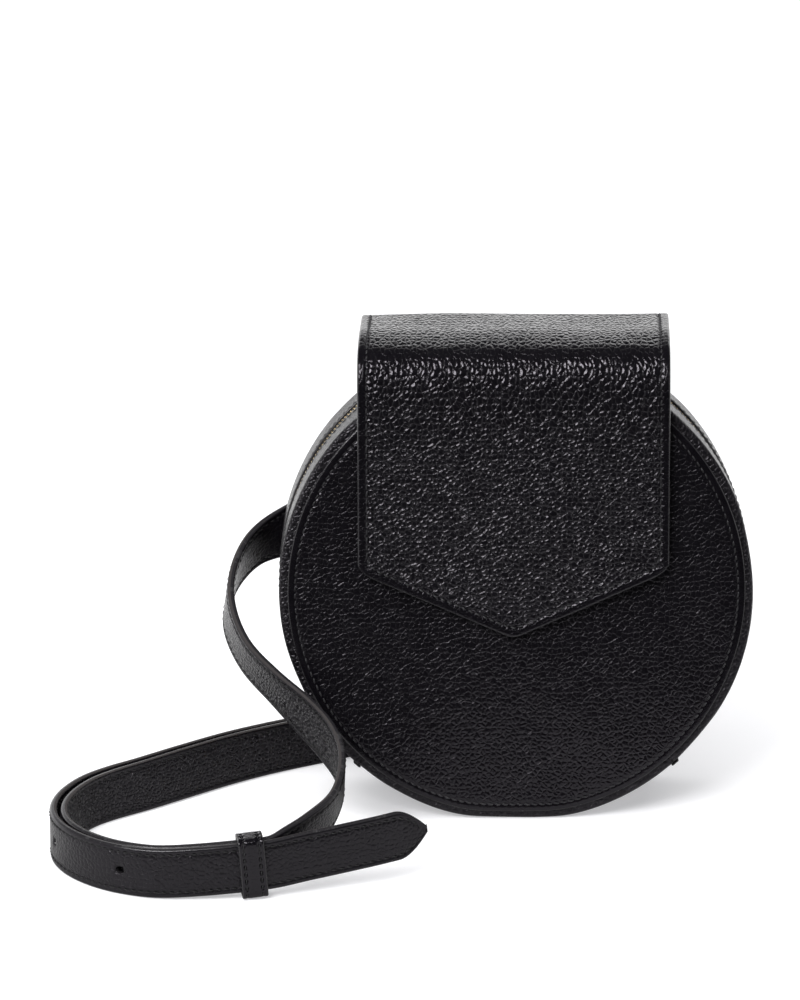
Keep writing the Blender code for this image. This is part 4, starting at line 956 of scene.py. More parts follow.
def flap_at(mark, across, inside=0.0):
    """Points of the flap and their outward directions; inside is how far under its outer side."""
    mark, across = np.broadcast_arrays(mark, across)
    depth, up = np.moveaxis(sampled(FLAP_LINE, FLAP_MARKS, mark), -1, 0)
    slope_depth, slope_up = np.moveaxis(sampled(FLAP_SLOPES, FLAP_MARKS, mark), -1, 0)
    back = in_bag(0.0, 1.0, 0.0) - in_bag(0.0, 0.0, 0.0)
    lean = in_bag(0.0, 0.0, 1.0) - in_bag(0.0, 0.0, 0.0)
    run = slope_depth[..., None] * back + slope_up[..., None] * lean
    outs = unit(np.cross(run, np.array([1.0, 0.0, 0.0])))
    skew = FLAP_REAR_SKEW * np.clip((depth - FLAP_FRONT) / (FLAP_BACK - FLAP_FRONT), 0.0, 1.0)
    line = in_bag(FLAP_SHIFT + skew + across, depth, up)
    return line - np.asarray(inside)[..., None] * outs, outs


def hem_up(across, half, inset):
    """The height of the flap's pointed hem at this distance from its middle line."""
    slope = FLAP_POINT_DROP / FLAP_HALF_WIDTH
    point = FLAP_CORNER_UP - FLAP_POINT_DROP + inset * math.hypot(1.0, slope)
    across = np.abs(across)
    tip = FLAP_CORNER_ROUND / 2
    up = point + np.where(across < tip, slope * (across ** 2 / tip + tip) / 2, across * slope)
    reach = np.clip(1.0 - (half - across) / FLAP_CORNER_ROUND, 0.0, 1.0)
    return up + FLAP_CORNER_ROUND * (1.0 - np.sqrt(1.0 - reach ** 2)) * HEM_CORNER_SHARE


def mark_at_up(up):
    """How far along the flap its front comes down to this height."""
    return np.interp(-up, -FLAP_LINE[IN_FRONT, 1], FLAP_MARKS[IN_FRONT])


def flap_columns(half, inset_steps):
    """Places across the flap: close together beside its sides, even between them."""
    inner = inset_steps[-1]
    count = round(2 * (half - inner) / FLAP_COLUMN_STEP) + 1
    even = np.linspace(-half + inner, half - inner, count)
    return np.concatenate([-half + inset_steps[:-1], even, (half - inset_steps[:-1])[::-1]])


def flap_slack(across, mark):
    """The flap's own slack, less deep and wider across than the other pieces'."""
    return FLAP_SLACK_SHARE * slack(across * FLAP_SLACK_SPREAD, mark)


def flap_sheet(piece, mark, across, inset, layer, labels):
    """Adds one layer of the flap's sheet: layer is the leather or the lining."""
    sag = flap_slack(across, mark)
    line, outs = flap_at(mark, across, -sag)
    fall = rolled(inset, FLAP_ROLL)
    if layer == "leather":
        front = -fall - channel(inset, FLAP_STITCH_INSET, mark + np.abs(across))
        under = np.where(inset < LINING_INSET, FLAP_TOTAL - fall, FLAP_LEATHER)
        back = -under
    else:
        outs = -outs
        front = FLAP_TOTAL - fall - channel(inset, FLAP_STITCH_INSET, mark + np.abs(across))
        back = np.full(inset.shape, FLAP_LEATHER + SEAM_GAP / 3)
    places = np.stack([across, sampled(GRAIN_PLACES[:, None], FLAP_MARKS, mark)[..., 0]], axis=-1)
    piece.sheet(line, outs, front, back, places, press(inset, FLAP_STITCH_INSET - 0.0012), labels)


def row_labels(inset):
    cells = (inset[1:, 1:] + inset[:-1, :-1] + inset[1:, :-1] + inset[:-1, 1:]) / 4
    return np.where(cells < PAINT_REACH, RIM, FACE)


def layer_insets(layer):
    """Columns beside an edge, and for the lining only those inside its own edge."""
    steps = np.array(EDGE_STEPS)
    if layer == "leather":
        return np.sort(np.append(steps, [LINING_INSET, LINING_INSET + 0.00003]))
    return np.concatenate([[LINING_INSET + 0.00005], steps[steps > LINING_INSET + 0.0001]])


def flap_stitches(piece, marks, sides, layer):
    """A row of stitches through these places on the leather or on the lining under it."""
    sag = flap_slack(sides, marks)
    if layer == "leather":
        line, outs = flap_at(marks, sides, STITCH_BED - sag)
        piece.stitches(line, outs, THREAD)
    else:
        line, outs = flap_at(marks, sides, FLAP_TOTAL - STITCH_BED - sag)
        piece.stitches(line, -outs, THREAD)


def flap_rear(layer, name, node_names, slot, skins):
    """The flap from its seam on the back over the rear fold to the middle of the top."""
    steps = layer_insets(layer)
    across = flap_columns(FLAP_HALF_WIDTH, steps)[None]
    count = round((FLAP_MIDDLE_MARK - steps[-1]) / (STITCH_PITCH / ROWS_IN_STITCH))
    mark = np.concatenate([steps[:-1], np.linspace(steps[-1], FLAP_MIDDLE_MARK, count)])[:, None]
    inset = np.minimum(FLAP_HALF_WIDTH - np.abs(across), mark)
    mark, across = np.broadcast_arrays(mark, across)
    piece = Piece(name, *skins)
    flap_sheet(piece, mark, across, inset, layer, (row_labels(inset), BACK, RIM))
    reach = FLAP_HALF_WIDTH - FLAP_STITCH_INSET
    down = np.arange(FLAP_MIDDLE_MARK, FLAP_STITCH_INSET, -SEAM_STEP)
    over = np.arange(-reach, reach, SEAM_STEP)
    marks = np.concatenate([down, np.full(len(over), FLAP_STITCH_INSET), down[::-1]])
    sides = np.concatenate([np.full(len(down), -reach), over, np.full(len(down), reach)])
    flap_stitches(piece, marks, sides, layer)
    fold = FLAP_REAR_FOLD_UP
    start = in_bag(0.0, FLAP_BACK, fold - FOLD_SPREAD)
    end = in_bag(0.0, FLAP_BACK, fold + FOLD_SPREAD)
    return piece.finish(("bag", "flap_top", start, end), slot, *node_names)


def flap_front(layer, name, node_names, slot, skins):
    """The flap from the middle of the top over the front fold to its pointed hem."""
    steps = layer_insets(layer)
    across = flap_columns(FLAP_HALF_WIDTH, steps)[None]
    straight = mark_at_up(HEM_ROWS_UP)
    count = round((straight - FLAP_MIDDLE_MARK) / (STITCH_PITCH / ROWS_IN_STITCH))
    upper = np.linspace(FLAP_MIDDLE_MARK, straight, count)[:, None] + 0 * across
    slope = FLAP_POINT_DROP / FLAP_HALF_WIDTH
    tall = math.hypot(1.0, slope)
    hem = hem_up(across, FLAP_HALF_WIDTH, 0.0)
    first = steps[0] if layer != "leather" else 0.0
    share = np.linspace(0.0, 1.0, 44)[1:, None]
    near_up = hem + HEM_CLOSE * tall
    middle = mark_at_up(HEM_ROWS_UP + (near_up - HEM_ROWS_UP) * share)
    near = np.concatenate([[0.0074, 0.0067, 0.006], steps[::-1]])[:, None]
    lower = mark_at_up(hem + near * tall)
    mark = np.concatenate([upper, middle, lower])
    above = np.concatenate([0 * upper + 1.0, (HEM_ROWS_UP + (near_up - HEM_ROWS_UP) * share - hem) / tall,
                            near + 0 * across])
    inset = np.minimum(np.minimum(FLAP_HALF_WIDTH - np.abs(across), above), 1.0)
    inset = np.maximum(inset, first)
    across = np.broadcast_to(across, mark.shape)
    piece = Piece(name, *skins)
    flap_sheet(piece, mark, across, inset, layer, (row_labels(inset), BACK, RIM))
    reach = FLAP_HALF_WIDTH - FLAP_STITCH_INSET
    over = np.linspace(-reach, reach, 400)
    hem_marks = mark_at_up(hem_up(over, reach, FLAP_STITCH_INSET))
    down = np.arange(FLAP_MIDDLE_MARK, hem_marks[0], SEAM_STEP)
    marks = np.concatenate([down, hem_marks, down[::-1]])
    sides = np.concatenate([np.full(len(down), -reach), over, np.full(len(down), reach)])
    flap_stitches(piece, marks, sides, layer)
    fold = FLAP_FRONT_FOLD_UP
    start = in_bag(0.0, FLAP_FRONT, fold)
    end = in_bag(0.0, FLAP_FRONT, fold - 2 * FOLD_SPREAD)
    return piece.finish(("flap_top", "flap_front", start, end), slot, *node_names)


# Heights of the snap's turned profile at shares of its radius
SOCKET_PROFILE = (
    (0.0, 0.30), (0.30, 0.30), (0.34, 0.95), (0.42, 1.0),
    (0.62, 0.92), (0.86, 0.8), (0.97, 0.5), (1.0, 0.0),
)
STUD_PROFILE = (
    (0.0, 1.0), (0.22, 0.98), (0.27, 0.8), (0.30, 0.55),
    (0.55, 0.52), (0.88, 0.42), (0.98, 0.2), (1.0, 0.0),
)


def snap_half(name, node, body, base, way, profile, skin):
    """A turned half of the snap: base is the depth it sits on, way the side that it faces."""
    sides = 48
    turn = 2 * math.pi * np.arange(sides) / sides
    piece = Piece(name, skin)
    rows = []
    for share, rise in reversed(profile):
        across = FLAP_SHIFT + SNAP_RADIUS * max(share, 0.004) * np.cos(turn)
        up = SNAP_UP + SNAP_RADIUS * max(share, 0.004) * np.sin(turn)
        rows.append(in_bag(across, base + way * SNAP_THICKNESS * rise, up))
    piece.tube(rows, FACE)
    return piece.finish(body, "snap_metal", node, sharp=40.0)


# The belt
RUN_STEP = 0.001
STRAP_HALF = STRAP_WIDTH / 2
STRAP_COLUMNS = tuple(step / 1000 for step in (
    0, 0.03, 0.12, 0.28, 0.49, 0.53, 0.8, 1.1, 1.5, 1.9, 2.2, 2.4, 2.65, 3.0, 3.6, 4.6, 6.0, 7.5))
HOLE_COLUMNS = (0.0085, 0.0092)
STRAP_EDGE = 0.00265


def curve_through(points, steps=12):
    """A smooth line through points of any width."""
    points = np.asarray(points, float)
    padded = np.concatenate([[2 * points[0] - points[1]], points, [2 * points[-1] - points[-2]]])
    t = (np.arange(steps) / steps)[:, None]
    parts = []
    for a, b, c, d in zip(padded, padded[1:], padded[2:], padded[3:]):
        bend = 2 * a - 5 * b + 4 * c - d
        twist = 3 * b - a - 3 * c + d
        parts.append((2 * b + (c - a) * t + bend * t ** 2 + twist * t ** 3) / 2)
    return np.concatenate([*parts, points[-1:]])


def eased(values, count):
    """Evens out small kinks, with the ends kept."""
    for _ in range(count):
        values = np.concatenate([values[:1], (values[:-2] + 2 * values[1:-1] + values[2:]) / 4, values[-1:]])
    return values


class Run:
    """A strap's smooth middle line, with its run, width and outward directions at even steps."""

    def __init__(self, points, step=RUN_STEP, ease=6):
        marks = spread(points[:, :3])
        count = round(marks[-1] / step)
        even = eased(sampled(points, marks, np.linspace(0.0, marks[-1], count + 1)), ease)
        self.centre = even[:, :3]
        self.marks = spread(self.centre)
        self.run = unit(np.gradient(self.centre, axis=0))
        width = even[:, 3:6]
        self.width = unit(width - np.sum(width * self.run, axis=-1, keepdims=True) * self.run)
        self.out = np.cross(self.run, self.width)
        self.length = self.marks[-1]

    def at(self, where):
        return [sampled(v, self.marks, where) for v in (self.centre, self.run, self.width, self.out)]


def double_run():
    """The floor line between the two straps: spots, lifts, width and level directions, and half the
    distance between the straps."""
    shares = np.array(DOUBLE_RUN_SHARES)
    spots = np.stack([place(a * BAG_RADIUS, b * BAG_RADIUS, 0.0) for a, b in shares[:, :2]])
    after = np.concatenate([spots[1:], spots[-1:]])
    before = np.concatenate([spots[:1], spots[:-1]])
    level = np.cross(unit(after - before), UP)
    width = unit(UP + shares[:, 3:4] * level)
    apart = (STRAP_THICKNESS + shares[:, 4] * STRAP_PARTING) / 2
    return spots, shares[:, 2] * BAG_RADIUS, width, level, apart


def beside(double, way):
    """Route points of the outer (way 1) or inner (way -1) strap, or of the line between (way 0)."""
    spots, lift, width, level, apart = double
    rise = (STRAP_WIDTH * width[:, 2] + STRAP_THICKNESS * np.sum(width * level, axis=-1)) / 2
    centre = spots + way * apart[:, None] * level + (lift + rise)[:, None] * UP
    return np.concatenate([centre, width], axis=-1)


def free_run(shares):
    points = []
    for across, back, follow, height, width in shares:
        depth = follow * BAG_DEPTH * math.cos(GUSSET_DIP)
        at = place(across * BAG_RADIUS, back * BAG_RADIUS + depth, height * BAG_RADIUS)
        points.append([*at, *unit(np.array(width))])
    return np.array(points)


def sewn_run(way):
    """Route points of a strap's end that lies flat on the back panel under its patch."""
    width = (0.0, math.sin(PANEL_LEAN), math.cos(PANEL_LEAN))
    flat = BAG_DEPTH + SEAM_GAP + STRAP_THICKNESS / 2
    places = (
        (ANCHOR_REACH - ANCHOR_LENGTH, flat),
        (ANCHOR_REACH - ANCHOR_HEM, flat),
        (STRAP_LEAVES, flat + LEAVING_GAP),
    )
    return np.array([[*in_bag(way * across, depth, ANCHOR_UP), *width] for across, depth in places])


def buckle_place(double):
    """The middles of the buckle's near and far bars, the way from far to near, outward, and the
    radius of the strap's fold round the near bar."""
    start = beside(double, 0)[0, :3]
    along = unit(double[0][1] - double[0][0])
    out = np.cross(along, UP)
    fold = STRAP_THICKNESS / 2 + FOLD_GAP + FRAME_BAR / 2
    near = start - (double[4][0] + fold) * out
    far = start - FRAME_LENGTH * along + FRAME_OUT * out
    return near, far, along, out, fold


def folded_end(inner, near, along, out, fold):
    """The end of the buckle strap: its tail beside the strap, then half a turn round the near bar."""
    close = STRAP_THICKNESS + FOLD_GAP + STRAP_PARTING
    tail = []
    for run_share, open_share in TAIL_SHARES:
        centre, _, width, level = inner.at(FOLD_TAIL * run_share)
        tail.append([*(centre - (close + open_share * (2 * fold - close)) * level), *width])
    turns = np.linspace(0.0, math.pi, 25)
    turned = [[*(near - fold * (math.cos(t) * out + math.sin(t) * along)), *UP] for t in turns]
    tail.append(turned[0])
    return np.concatenate([curve_through(tail)[:-1], turned])


def prong_path(near, far, along, out):
    """The prong's middle line: a hook round the near bar, a neck up through the strap, then straight
    to the far bar."""
    hook = FRAME_BAR / 2 + PRONG_GAP + PRONG_THICKNESS / 2
    path = []
    for turn in np.radians(np.linspace(-150.0, 90.0, 15)):
        path.append((-hook * math.cos(turn), hook * math.sin(turn)))
    foot = (PRONG_NECK_FOOT, hook + PRONG_THICKNESS / 2)
    path.append(foot)
    path.append((foot[0] + PRONG_NECK_RUN, foot[1] + PRONG_NECK_RISE))
    gone = far - near
    path.append((FRAME_BAR / 2 + PRONG_OVERHANG - gone @ along, gone @ out + hook))
    return np.array([near - a * along + b * out for a, b in path])


def mark_at_line(run, start, end):
    """How far along the strap the line from start to end passes through it."""
    side = np.cross(end - start, UP)
    aside = (run.centre - start) @ side
    crossed = np.nonzero(aside[:-1] * aside[1:] <= 0)[0]
    middle = (start + end) / 2
    k = min(crossed, key=lambda n: np.linalg.norm(run.centre[n] - middle))
    share = aside[k] / (aside[k] - aside[k + 1])
    return run.marks[k] + share * (run.marks[k + 1] - run.marks[k])


def strap_reach(left, tip):
    """Half the strap's width this far from its end."""
    if not tip:
        return np.full(np.shape(left), STRAP_HALF)
    share = np.clip(left / tip, 0.0, 1.0)
    return STRAP_HALF * (1.0 - (1.0 - TIP_END_SHARE) * (1.0 - share) ** TIP_FULLNESS)


def strap_layer(name, node, run, way, holes, tip, slot, skins):
    """One leather layer of a strap: way is 1 for the outer leather, which takes in the painted rim,
    and -1 for the lining inside that rim."""
    steps = np.array(STRAP_COLUMNS + HOLE_COLUMNS)
    if way < 0:
        steps = np.concatenate([[LINING_TRIM + 0.00005], steps[steps > LINING_TRIM + 0.0001]])
    marks = set(run.marks)
    for at, half_long, _ in holes:
        marks -= {m for m in marks if abs(m - at) < half_long * 1.2}
        rows = max(5, round(2 * half_long / run.marks[1]) + 1)
        marks |= {at + half_long * share for share in (-1.2, *np.linspace(-1.0, 1.0, rows), 1.2)}
    close = steps[steps < 0.003]
    marks = {m for m in marks if 0.003 <= m <= run.length - 0.003}
    marks |= set(close) | set(run.length - close)
    marks = np.array(sorted(marks))[:, None]
    left = run.length - marks
    reach = strap_reach(left, tip)
    narrowed = (STRAP_HALF - steps) * (reach - STRAP_EDGE) / (STRAP_HALF - STRAP_EDGE)
    half = np.where(steps <= STRAP_EDGE, reach - steps, narrowed)
    across = np.concatenate([-half, 0 * left, half[:, ::-1]], axis=1)
    along, across, gone, near = punched(marks, across, holes)
    centre, _, width, out = run.at(along)
    line = centre + across[..., None] * width
    outs = way * out
    inset = np.minimum(reach - np.abs(across), np.minimum(left, marks))
    fall = rolled(inset, STRAP_ROLL)
    rim_fall = rolled(np.maximum(near, 0.0), 0.0005)
    front = STRAP_THICKNESS / 2 - np.maximum(fall, rim_fall)
    front = front - channel(inset, STRAP_STITCH_INSET, along)
    back = np.full(inset.shape, SEAM_GAP / 6)
    if way > 0:
        back = np.where(inset < LINING_TRIM, fall - STRAP_THICKNESS / 2, back)
    piece = Piece(name, *skins)
    places = np.stack([along, across], axis=-1)
    piece.sheet(line, outs, front, back, places, press(inset, STRAP_STITCH_INSET - 0.0012),
                (row_labels(inset), BACK, RIM), gone=gone)
    rise = STRAP_THICKNESS / 2 - STITCH_BED
    for path_marks, path_across in strap_rows(run, tip):
        centre, _, width, out = run.at(path_marks)
        outs = way * out
        path = centre + path_across[:, None] * width + rise * outs
        piece.stitches(path, outs, THREAD)
    return piece.finish("bag", slot, node)


def strap_rows(run, tip):
    """The stitch rows of a strap, as marks and distances from its middle line: one along each side,
    or one that goes round the tip."""
    marks = np.arange(0.002, run.length - max(tip * 0.3, 0.002), SEAM_STEP)
    aside = strap_reach(run.length - marks, tip) - STRAP_STITCH_INSET
    if not tip:
        return [(marks, -aside), (marks, aside)]
    turn = np.linspace(-math.pi / 2, math.pi / 2, 14)[1:-1]
    end = marks[-1] + 0.0012 * np.cos(turn)
    return [(
        np.concatenate([marks, end, marks[::-1]]),
        np.concatenate([-aside, aside[-1] * np.sin(turn), aside[::-1]]),
    )]


def band(name, node, body, row, low, high, length, skins, slot="strap_leather"):
    """A leather loop round straps: its ring is a rounded oblong from low to high across them."""
    centre, along, width, out = row
    half = (STRAP_WIDTH + KEEPER_PLAY) / 2 + KEEPER_WALL
    left, right = low - KEEPER_WALL, high + KEEPER_WALL
    corner = min(KEEPER_WALL * 1.3, (right - left) / 2 - 0.0002)
    ring = []
    turns = np.linspace(0.0, math.pi / 2, 7)
    hubs = ((right, half, 0), (left, half, 1), (left, -half, 2), (right, -half, 3))
    for hub_out, hub_up, quarter in hubs:
        across = hub_out - math.copysign(corner, hub_out - (left + right) / 2)
        up = hub_up - math.copysign(corner, hub_up)
        for turn in turns + quarter * math.pi / 2:
            ring.append((across + corner * math.cos(turn), up + corner * math.sin(turn)))
    ring = np.array(ring + ring[:1])
    around = np.arange(0.0, spread(ring)[-1], 0.0007)
    ring = sampled(ring, spread(ring), around)
    slope = unit(np.roll(ring, -1, axis=0) - np.roll(ring, 1, axis=0))
    steps = np.array([step for step in EDGE_STEPS if step < length / 2 - 0.0003])
    aside = np.concatenate([-length / 2 + steps, [0.0], (length / 2 - steps)[::-1]])
    inset = np.broadcast_to(length / 2 - np.abs(aside), (len(ring), len(aside)))
    line = (
        centre + ring[:, :1, None] * out + ring[:, 1:, None] * width + aside[None, :, None] * along
    )
    outs = np.broadcast_to((slope[:, 1:] * out - slope[:, :1] * width)[:, None], line.shape)
    fall = rolled(inset, 0.0006)
    dip = KEEPER_CREASE * channel(inset, KEEPER_STITCH_INSET, around[:, None])
    piece = Piece(name, *skins)
    places = np.stack(np.broadcast_arrays(around[:, None], aside), axis=-1)
    piece.sheet(
        line, outs, -fall - dip, fall - KEEPER_WALL, places, press(inset, KEEPER_STITCH_INSET),
        (painted(length / 2 - np.abs(aside)), BACK, RIM), ring=True,
    )
    for way in (-1, 1):
        shift = way * (length / 2 - KEEPER_STITCH_INSET)
        path = centre + ring[:, :1] * out + ring[:, 1:] * width + shift * along
        square = outs[:, 0]
        sunk = KEEPER_CREASE * STITCH_BED
        piece.stitches(path - sunk * square, square, THREAD, pitch=0.0027, closed=True)
    return piece.finish(body, slot, node)


def anchor(name, node, way, skins):
    """A leather patch sewn over the strap's end on the back panel, shaped over the strap."""
    strap_half = STRAP_HALF + SEAM_GAP
    raised = STRAP_THICKNESS + SEAM_GAP + ANCHOR_ROOM
    hem = strap_half + ANCHOR_LEATHER
    outline = np.array([
        (hem + ANCHOR_HEM, SEAM_GAP), (hem + ANCHOR_HEM * 0.4, SEAM_GAP), (hem + 0.0006, SEAM_GAP + 0.0002),
        (strap_half + 0.0006, raised - 0.0005), (strap_half - 0.0008, raised), (strap_half * 0.6, raised),
        (0.0, raised),
    ])
    outline = np.concatenate([outline, (outline * [-1.0, 1.0])[-2::-1]])
    outline[:, 1] += ANCHOR_LEATHER
    fine = sampled(outline, spread(outline), np.linspace(0.0, spread(outline)[-1], 240))
    fine = eased(fine, 14)
    total = spread(fine)[-1]
    steps = np.array(EDGE_STEPS)
    even_down = np.linspace(ANCHOR_EDGE_REACH, total - ANCHOR_EDGE_REACH, 50)
    places_down = np.concatenate([steps, even_down, (total - steps)[::-1]])
    section = sampled(fine, spread(fine), places_down)
    even_along = np.linspace(ANCHOR_EDGE_REACH, ANCHOR_LENGTH - ANCHOR_EDGE_REACH, 22)
    along = np.concatenate([steps, even_along, (ANCHOR_LENGTH - steps)[::-1]])
    across = way * (ANCHOR_REACH - ANCHOR_LENGTH + along)[:, None]
    line = in_bag(across, BAG_DEPTH + section[:, 1], ANCHOR_UP + section[:, 0])
    outs = outward(line, False)
    inset = np.minimum(
        np.minimum(along, ANCHOR_LENGTH - along)[:, None], np.minimum(places_down, total - places_down)
    )
    fall = rolled(inset, PANEL_ROLL)
    front = -fall - channel(inset, ANCHOR_STITCH_INSET, along[:, None] + places_down)
    piece = Piece(name, *skins)
    places = np.stack(np.broadcast_arrays(along[:, None], places_down), axis=-1)
    piece.sheet(line, outs, front, fall - ANCHOR_LEATHER, places, press(inset, ANCHOR_STITCH_INSET),
                (row_labels(inset), BACK, RIM))
    surface = line - STITCH_BED * outs
    inner, outer = ANCHOR_STITCH_INSET, ANCHOR_LENGTH - ANCHOR_STITCH_INSET
    low, high = ANCHOR_STITCH_INSET, total - ANCHOR_STITCH_INSET
    ends = [sampled(v, along, np.array([inner, outer])) for v in (surface, outs)]
    hems = [sampled(np.swapaxes(v, 0, 1), places_down, np.array([low, high])) for v in (surface, outs)]
    down = (places_down > low) & (places_down < high)
    over = (along > inner) & (along < outer)
    for k in range(2):
        piece.stitches(ends[0][k][down], ends[1][k][down], THREAD)
        piece.stitches(hems[0][k][over], hems[1][k][over], THREAD)
    return piece.finish("bag", "leather", node)


def buckle_frame(near, far, skin):
    """A closed upright frame of round bar."""
    level = unit(near - far)
    centre = (near + far) / 2
    half_length = np.linalg.norm(near - far) / 2
    half_height = STRAP_HALF + FRAME_CLEARANCE + FRAME_BAR / 2
    normal = np.cross(level, UP)
    roll = 2 * math.pi * (np.arange(16) + 0.5) / 16
    loops = []
    for quarter in range(4):
        hub_level = (half_length - FRAME_CORNER) * (1 if quarter in (0, 3) else -1)
        hub_up = (half_height - FRAME_CORNER) * (1 if quarter in (0, 1) else -1)
        for turn in np.linspace(0.0, math.pi / 2, 8) + quarter * math.pi / 2:
            outward_way = math.cos(turn) * level + math.sin(turn) * UP
            at = centre + hub_level * level + hub_up * UP + FRAME_CORNER * outward_way
            shift = np.cos(roll)[:, None] * outward_way + np.sin(roll)[:, None] * normal
            loops.append(at + FRAME_BAR / 2 * shift)
    piece = Piece("buckle_frame_metal", skin)
    piece.tube(loops, FACE, closed=True)
    return piece.finish("bag", "gold_metal", "buckle_frame")


def buckle_prong(path, skin):
    marks = spread(path)
    fine = eased(sampled(path, marks, np.linspace(0.0, marks[-1], 90)), 5)
    share = np.linspace(0.0, 1.0, len(fine))
    blunt = np.minimum(1.0, 0.35 + 9.0 * np.minimum(share, 1.0 - share))
    wide = PRONG_WIDTH / 2 * blunt * (1.0 - 0.25 * np.clip(share - 0.45, 0.0, 1.0))
    thick = PRONG_THICKNESS / 2 * np.minimum(1.0, blunt + 0.2)
    loops = bar_loops(fine, np.broadcast_to(UP, fine.shape), wide, thick)
    piece = Piece("buckle_prong_metal", skin)
    piece.tube(loops, FACE)
    return piece.finish("prong", "gold_metal", "buckle_prong")


def belt(skins, gold):
    double = double_run()
    near, far, along, out, fold = buckle_place(double)

    # The buckle strap: folded round the buckle, along the floor and up to the back of the bag
    route = np.concatenate([beside(double, -1), free_run(RISING_RUN_SHARES), sewn_run(-1)[::-1]])
    inner = Run(curve_through(route))
    start = folded_end(inner, near, along, out, fold)
    body = np.concatenate([inner.centre, inner.width], axis=-1)[2:]
    run = Run(np.concatenate([start, body]), ease=3)
    fold_end = run.marks[np.argmin(np.linalg.norm(run.centre - start[-1, :3], axis=-1))]
    middle = fold_end - math.pi * fold / 2
    slot = (middle, math.pi * fold / 2 + FRAME_BAR, FOLD_SLOT / 2)
    strap_layer("buckle_strap_leather", "buckle_strap_outer", run, 1, [slot], 0.0, "strap_leather",
                skins["strap"])
    strap_layer("buckle_strap_lining_leather", "buckle_strap_lining", run, -1, [slot], 0.0,
                "strap_backing", skins["backing"])

    # The tip strap: from the back of the bag through the buckle, round the outside and to its tip
    outer = beside(double, 1)
    below = far - (FRAME_BAR / 2 + FOLD_GAP + STRAP_THICKNESS / 2) * out
    between = (below + outer[0, :3]) / 2
    tip = []
    for across, back, lift in TIP_RUN_SHARES:
        tip.append([*place(across * BAG_RADIUS, back * BAG_RADIUS, lift * BAG_RADIUS + STRAP_HALF), *UP])
    route = np.concatenate([
        sewn_run(1), free_run(FALLING_RUN_SHARES), [[*below, *UP], [*between, *UP]], outer, tip,
    ])
    run = Run(curve_through(route))
    path = prong_path(near, far, along, out)
    first = mark_at_line(run, path[-3], path[-2])
    holes = [(first + k * HOLE_PITCH, (HOLE_LENGTH if k else PRONG_HOLE_LENGTH) / 2, HOLE_WIDTH / 2)
             for k in range(HOLE_COUNT)]
    strap_layer("tip_strap_leather", "tip_strap_outer", run, 1, holes, TIP_LENGTH, "strap_leather",
                skins["strap"])
    strap_layer("tip_strap_lining_leather", "tip_strap_lining", run, -1, holes, TIP_LENGTH,
                "strap_backing", skins["backing"])

    buckle_frame(near, far, gold)
    buckle_prong(path, gold)
    between_run = Run(curve_through(beside(double, 0)))
    row = between_run.at(between_run.length - KEEPER_FROM_END)
    reach = double[4][-1] + STRAP_THICKNESS / 2 + KEEPER_SLACK
    band("belt_keeper_leather", "belt_keeper", "keeper", row, -reach, reach, KEEPER_LENGTH, skins["keeper"])
    row = between_run.at(FIXED_KEEPER_PLACE)
    high = double[4][0] + STRAP_THICKNESS / 2 + 2 * SEAM_GAP
    low = -high - STRAP_THICKNESS - FOLD_GAP - STRAP_PARTING
    band("buckle_keeper_leather", "buckle_keeper", "bag", row, low, high, FIXED_KEEPER_LENGTH,
         skins["keeper"])
    for side, way in (("left", -1), ("right", 1)):
        anchor("belt_anchor_" + side + "_leather", "belt_anchor_" + side, way, skins["patch"])


# Finishes
class Wiring:
    """Puts nodes into a material's, a group's or the world's node tree and joins them."""

    def __init__(self, tree):
        self.tree = tree

    def node(self, kind, sockets=(), **settings):
        made = self.tree.nodes.new(kind)
        for name, value in settings.items():
            setattr(made, name, value)
        for name, value in dict(sockets).items():
            self.feed(made.inputs[name], value)
        return made

    def feed(self, socket, value):
        if isinstance(value, bpy.types.NodeSocket):
            self.tree.links.new(value, socket)
        else:
            socket.default_value = value

    def maths(self, operation, *values, clamp=False):
        made = self.node("ShaderNodeMath", operation=operation, use_clamp=clamp)
        for k, value in enumerate(values):
            self.feed(made.inputs[k], value)
        return made.outputs[0]

    def ranged(self, value, low, high, start=0.0, end=1.0, smooth=True):
        kind = "SMOOTHSTEP" if smooth else "LINEAR"
        sockets = {"Value": value, "From Min": low, "From Max": high, "To Min": start, "To Max": end}
        return self.node("ShaderNodeMapRange", sockets, interpolation_type=kind).outputs["Result"]

    def mixed(self, share, first, second):
        made = self.node("ShaderNodeMix", data_type="RGBA")
        for k, value in ((0, share), (6, first), (7, second)):
            self.feed(made.inputs[k], value)
        return made.outputs[2]

    def noise(self, where, scale, detail=2.0, roughness=0.55):
        sockets = {"Vector": where, "Scale": scale, "Detail": detail, "Roughness": roughness}
        return self.node("ShaderNodeTexNoise", sockets)

    def scaled(self, vector, scale):
        made = self.node("ShaderNodeVectorMath", {0: vector}, operation="SCALE")
        self.feed(made.inputs["Scale"], scale)
        return made.outputs[0]


def effect(name, inputs, outputs):
    """A node group with its named inputs (name: starting value) and outputs."""
    group = bpy.data.node_groups.new(name, "ShaderNodeTree")
    for socket, value in inputs.items():
        kind = "NodeSocketVector" if value is None else "NodeSocketFloat"
        made = group.interface.new_socket(socket, in_out="INPUT", socket_type=kind)
        if value is not None:
            made.default_value = value
    for socket in outputs:
        group.interface.new_socket(socket, in_out="OUTPUT", socket_type="NodeSocketFloat")
    wiring = Wiring(group)
    return group, wiring, wiring.node("NodeGroupInput").outputs, wiring.node("NodeGroupOutput").inputs


# How much of the grain's height is each pebble's dome, the wide swells, the pebbles' uneven
# heights and the fine wrinkles, and how high the hide lies where it is pressed flat
DOME_SHARE, SWELL_SHARE, UNEVEN_SHARE, WRINKLE_SHARE = 0.62, 0.26, 0.24, 0.16
PRESSED_LEVEL = 0.82


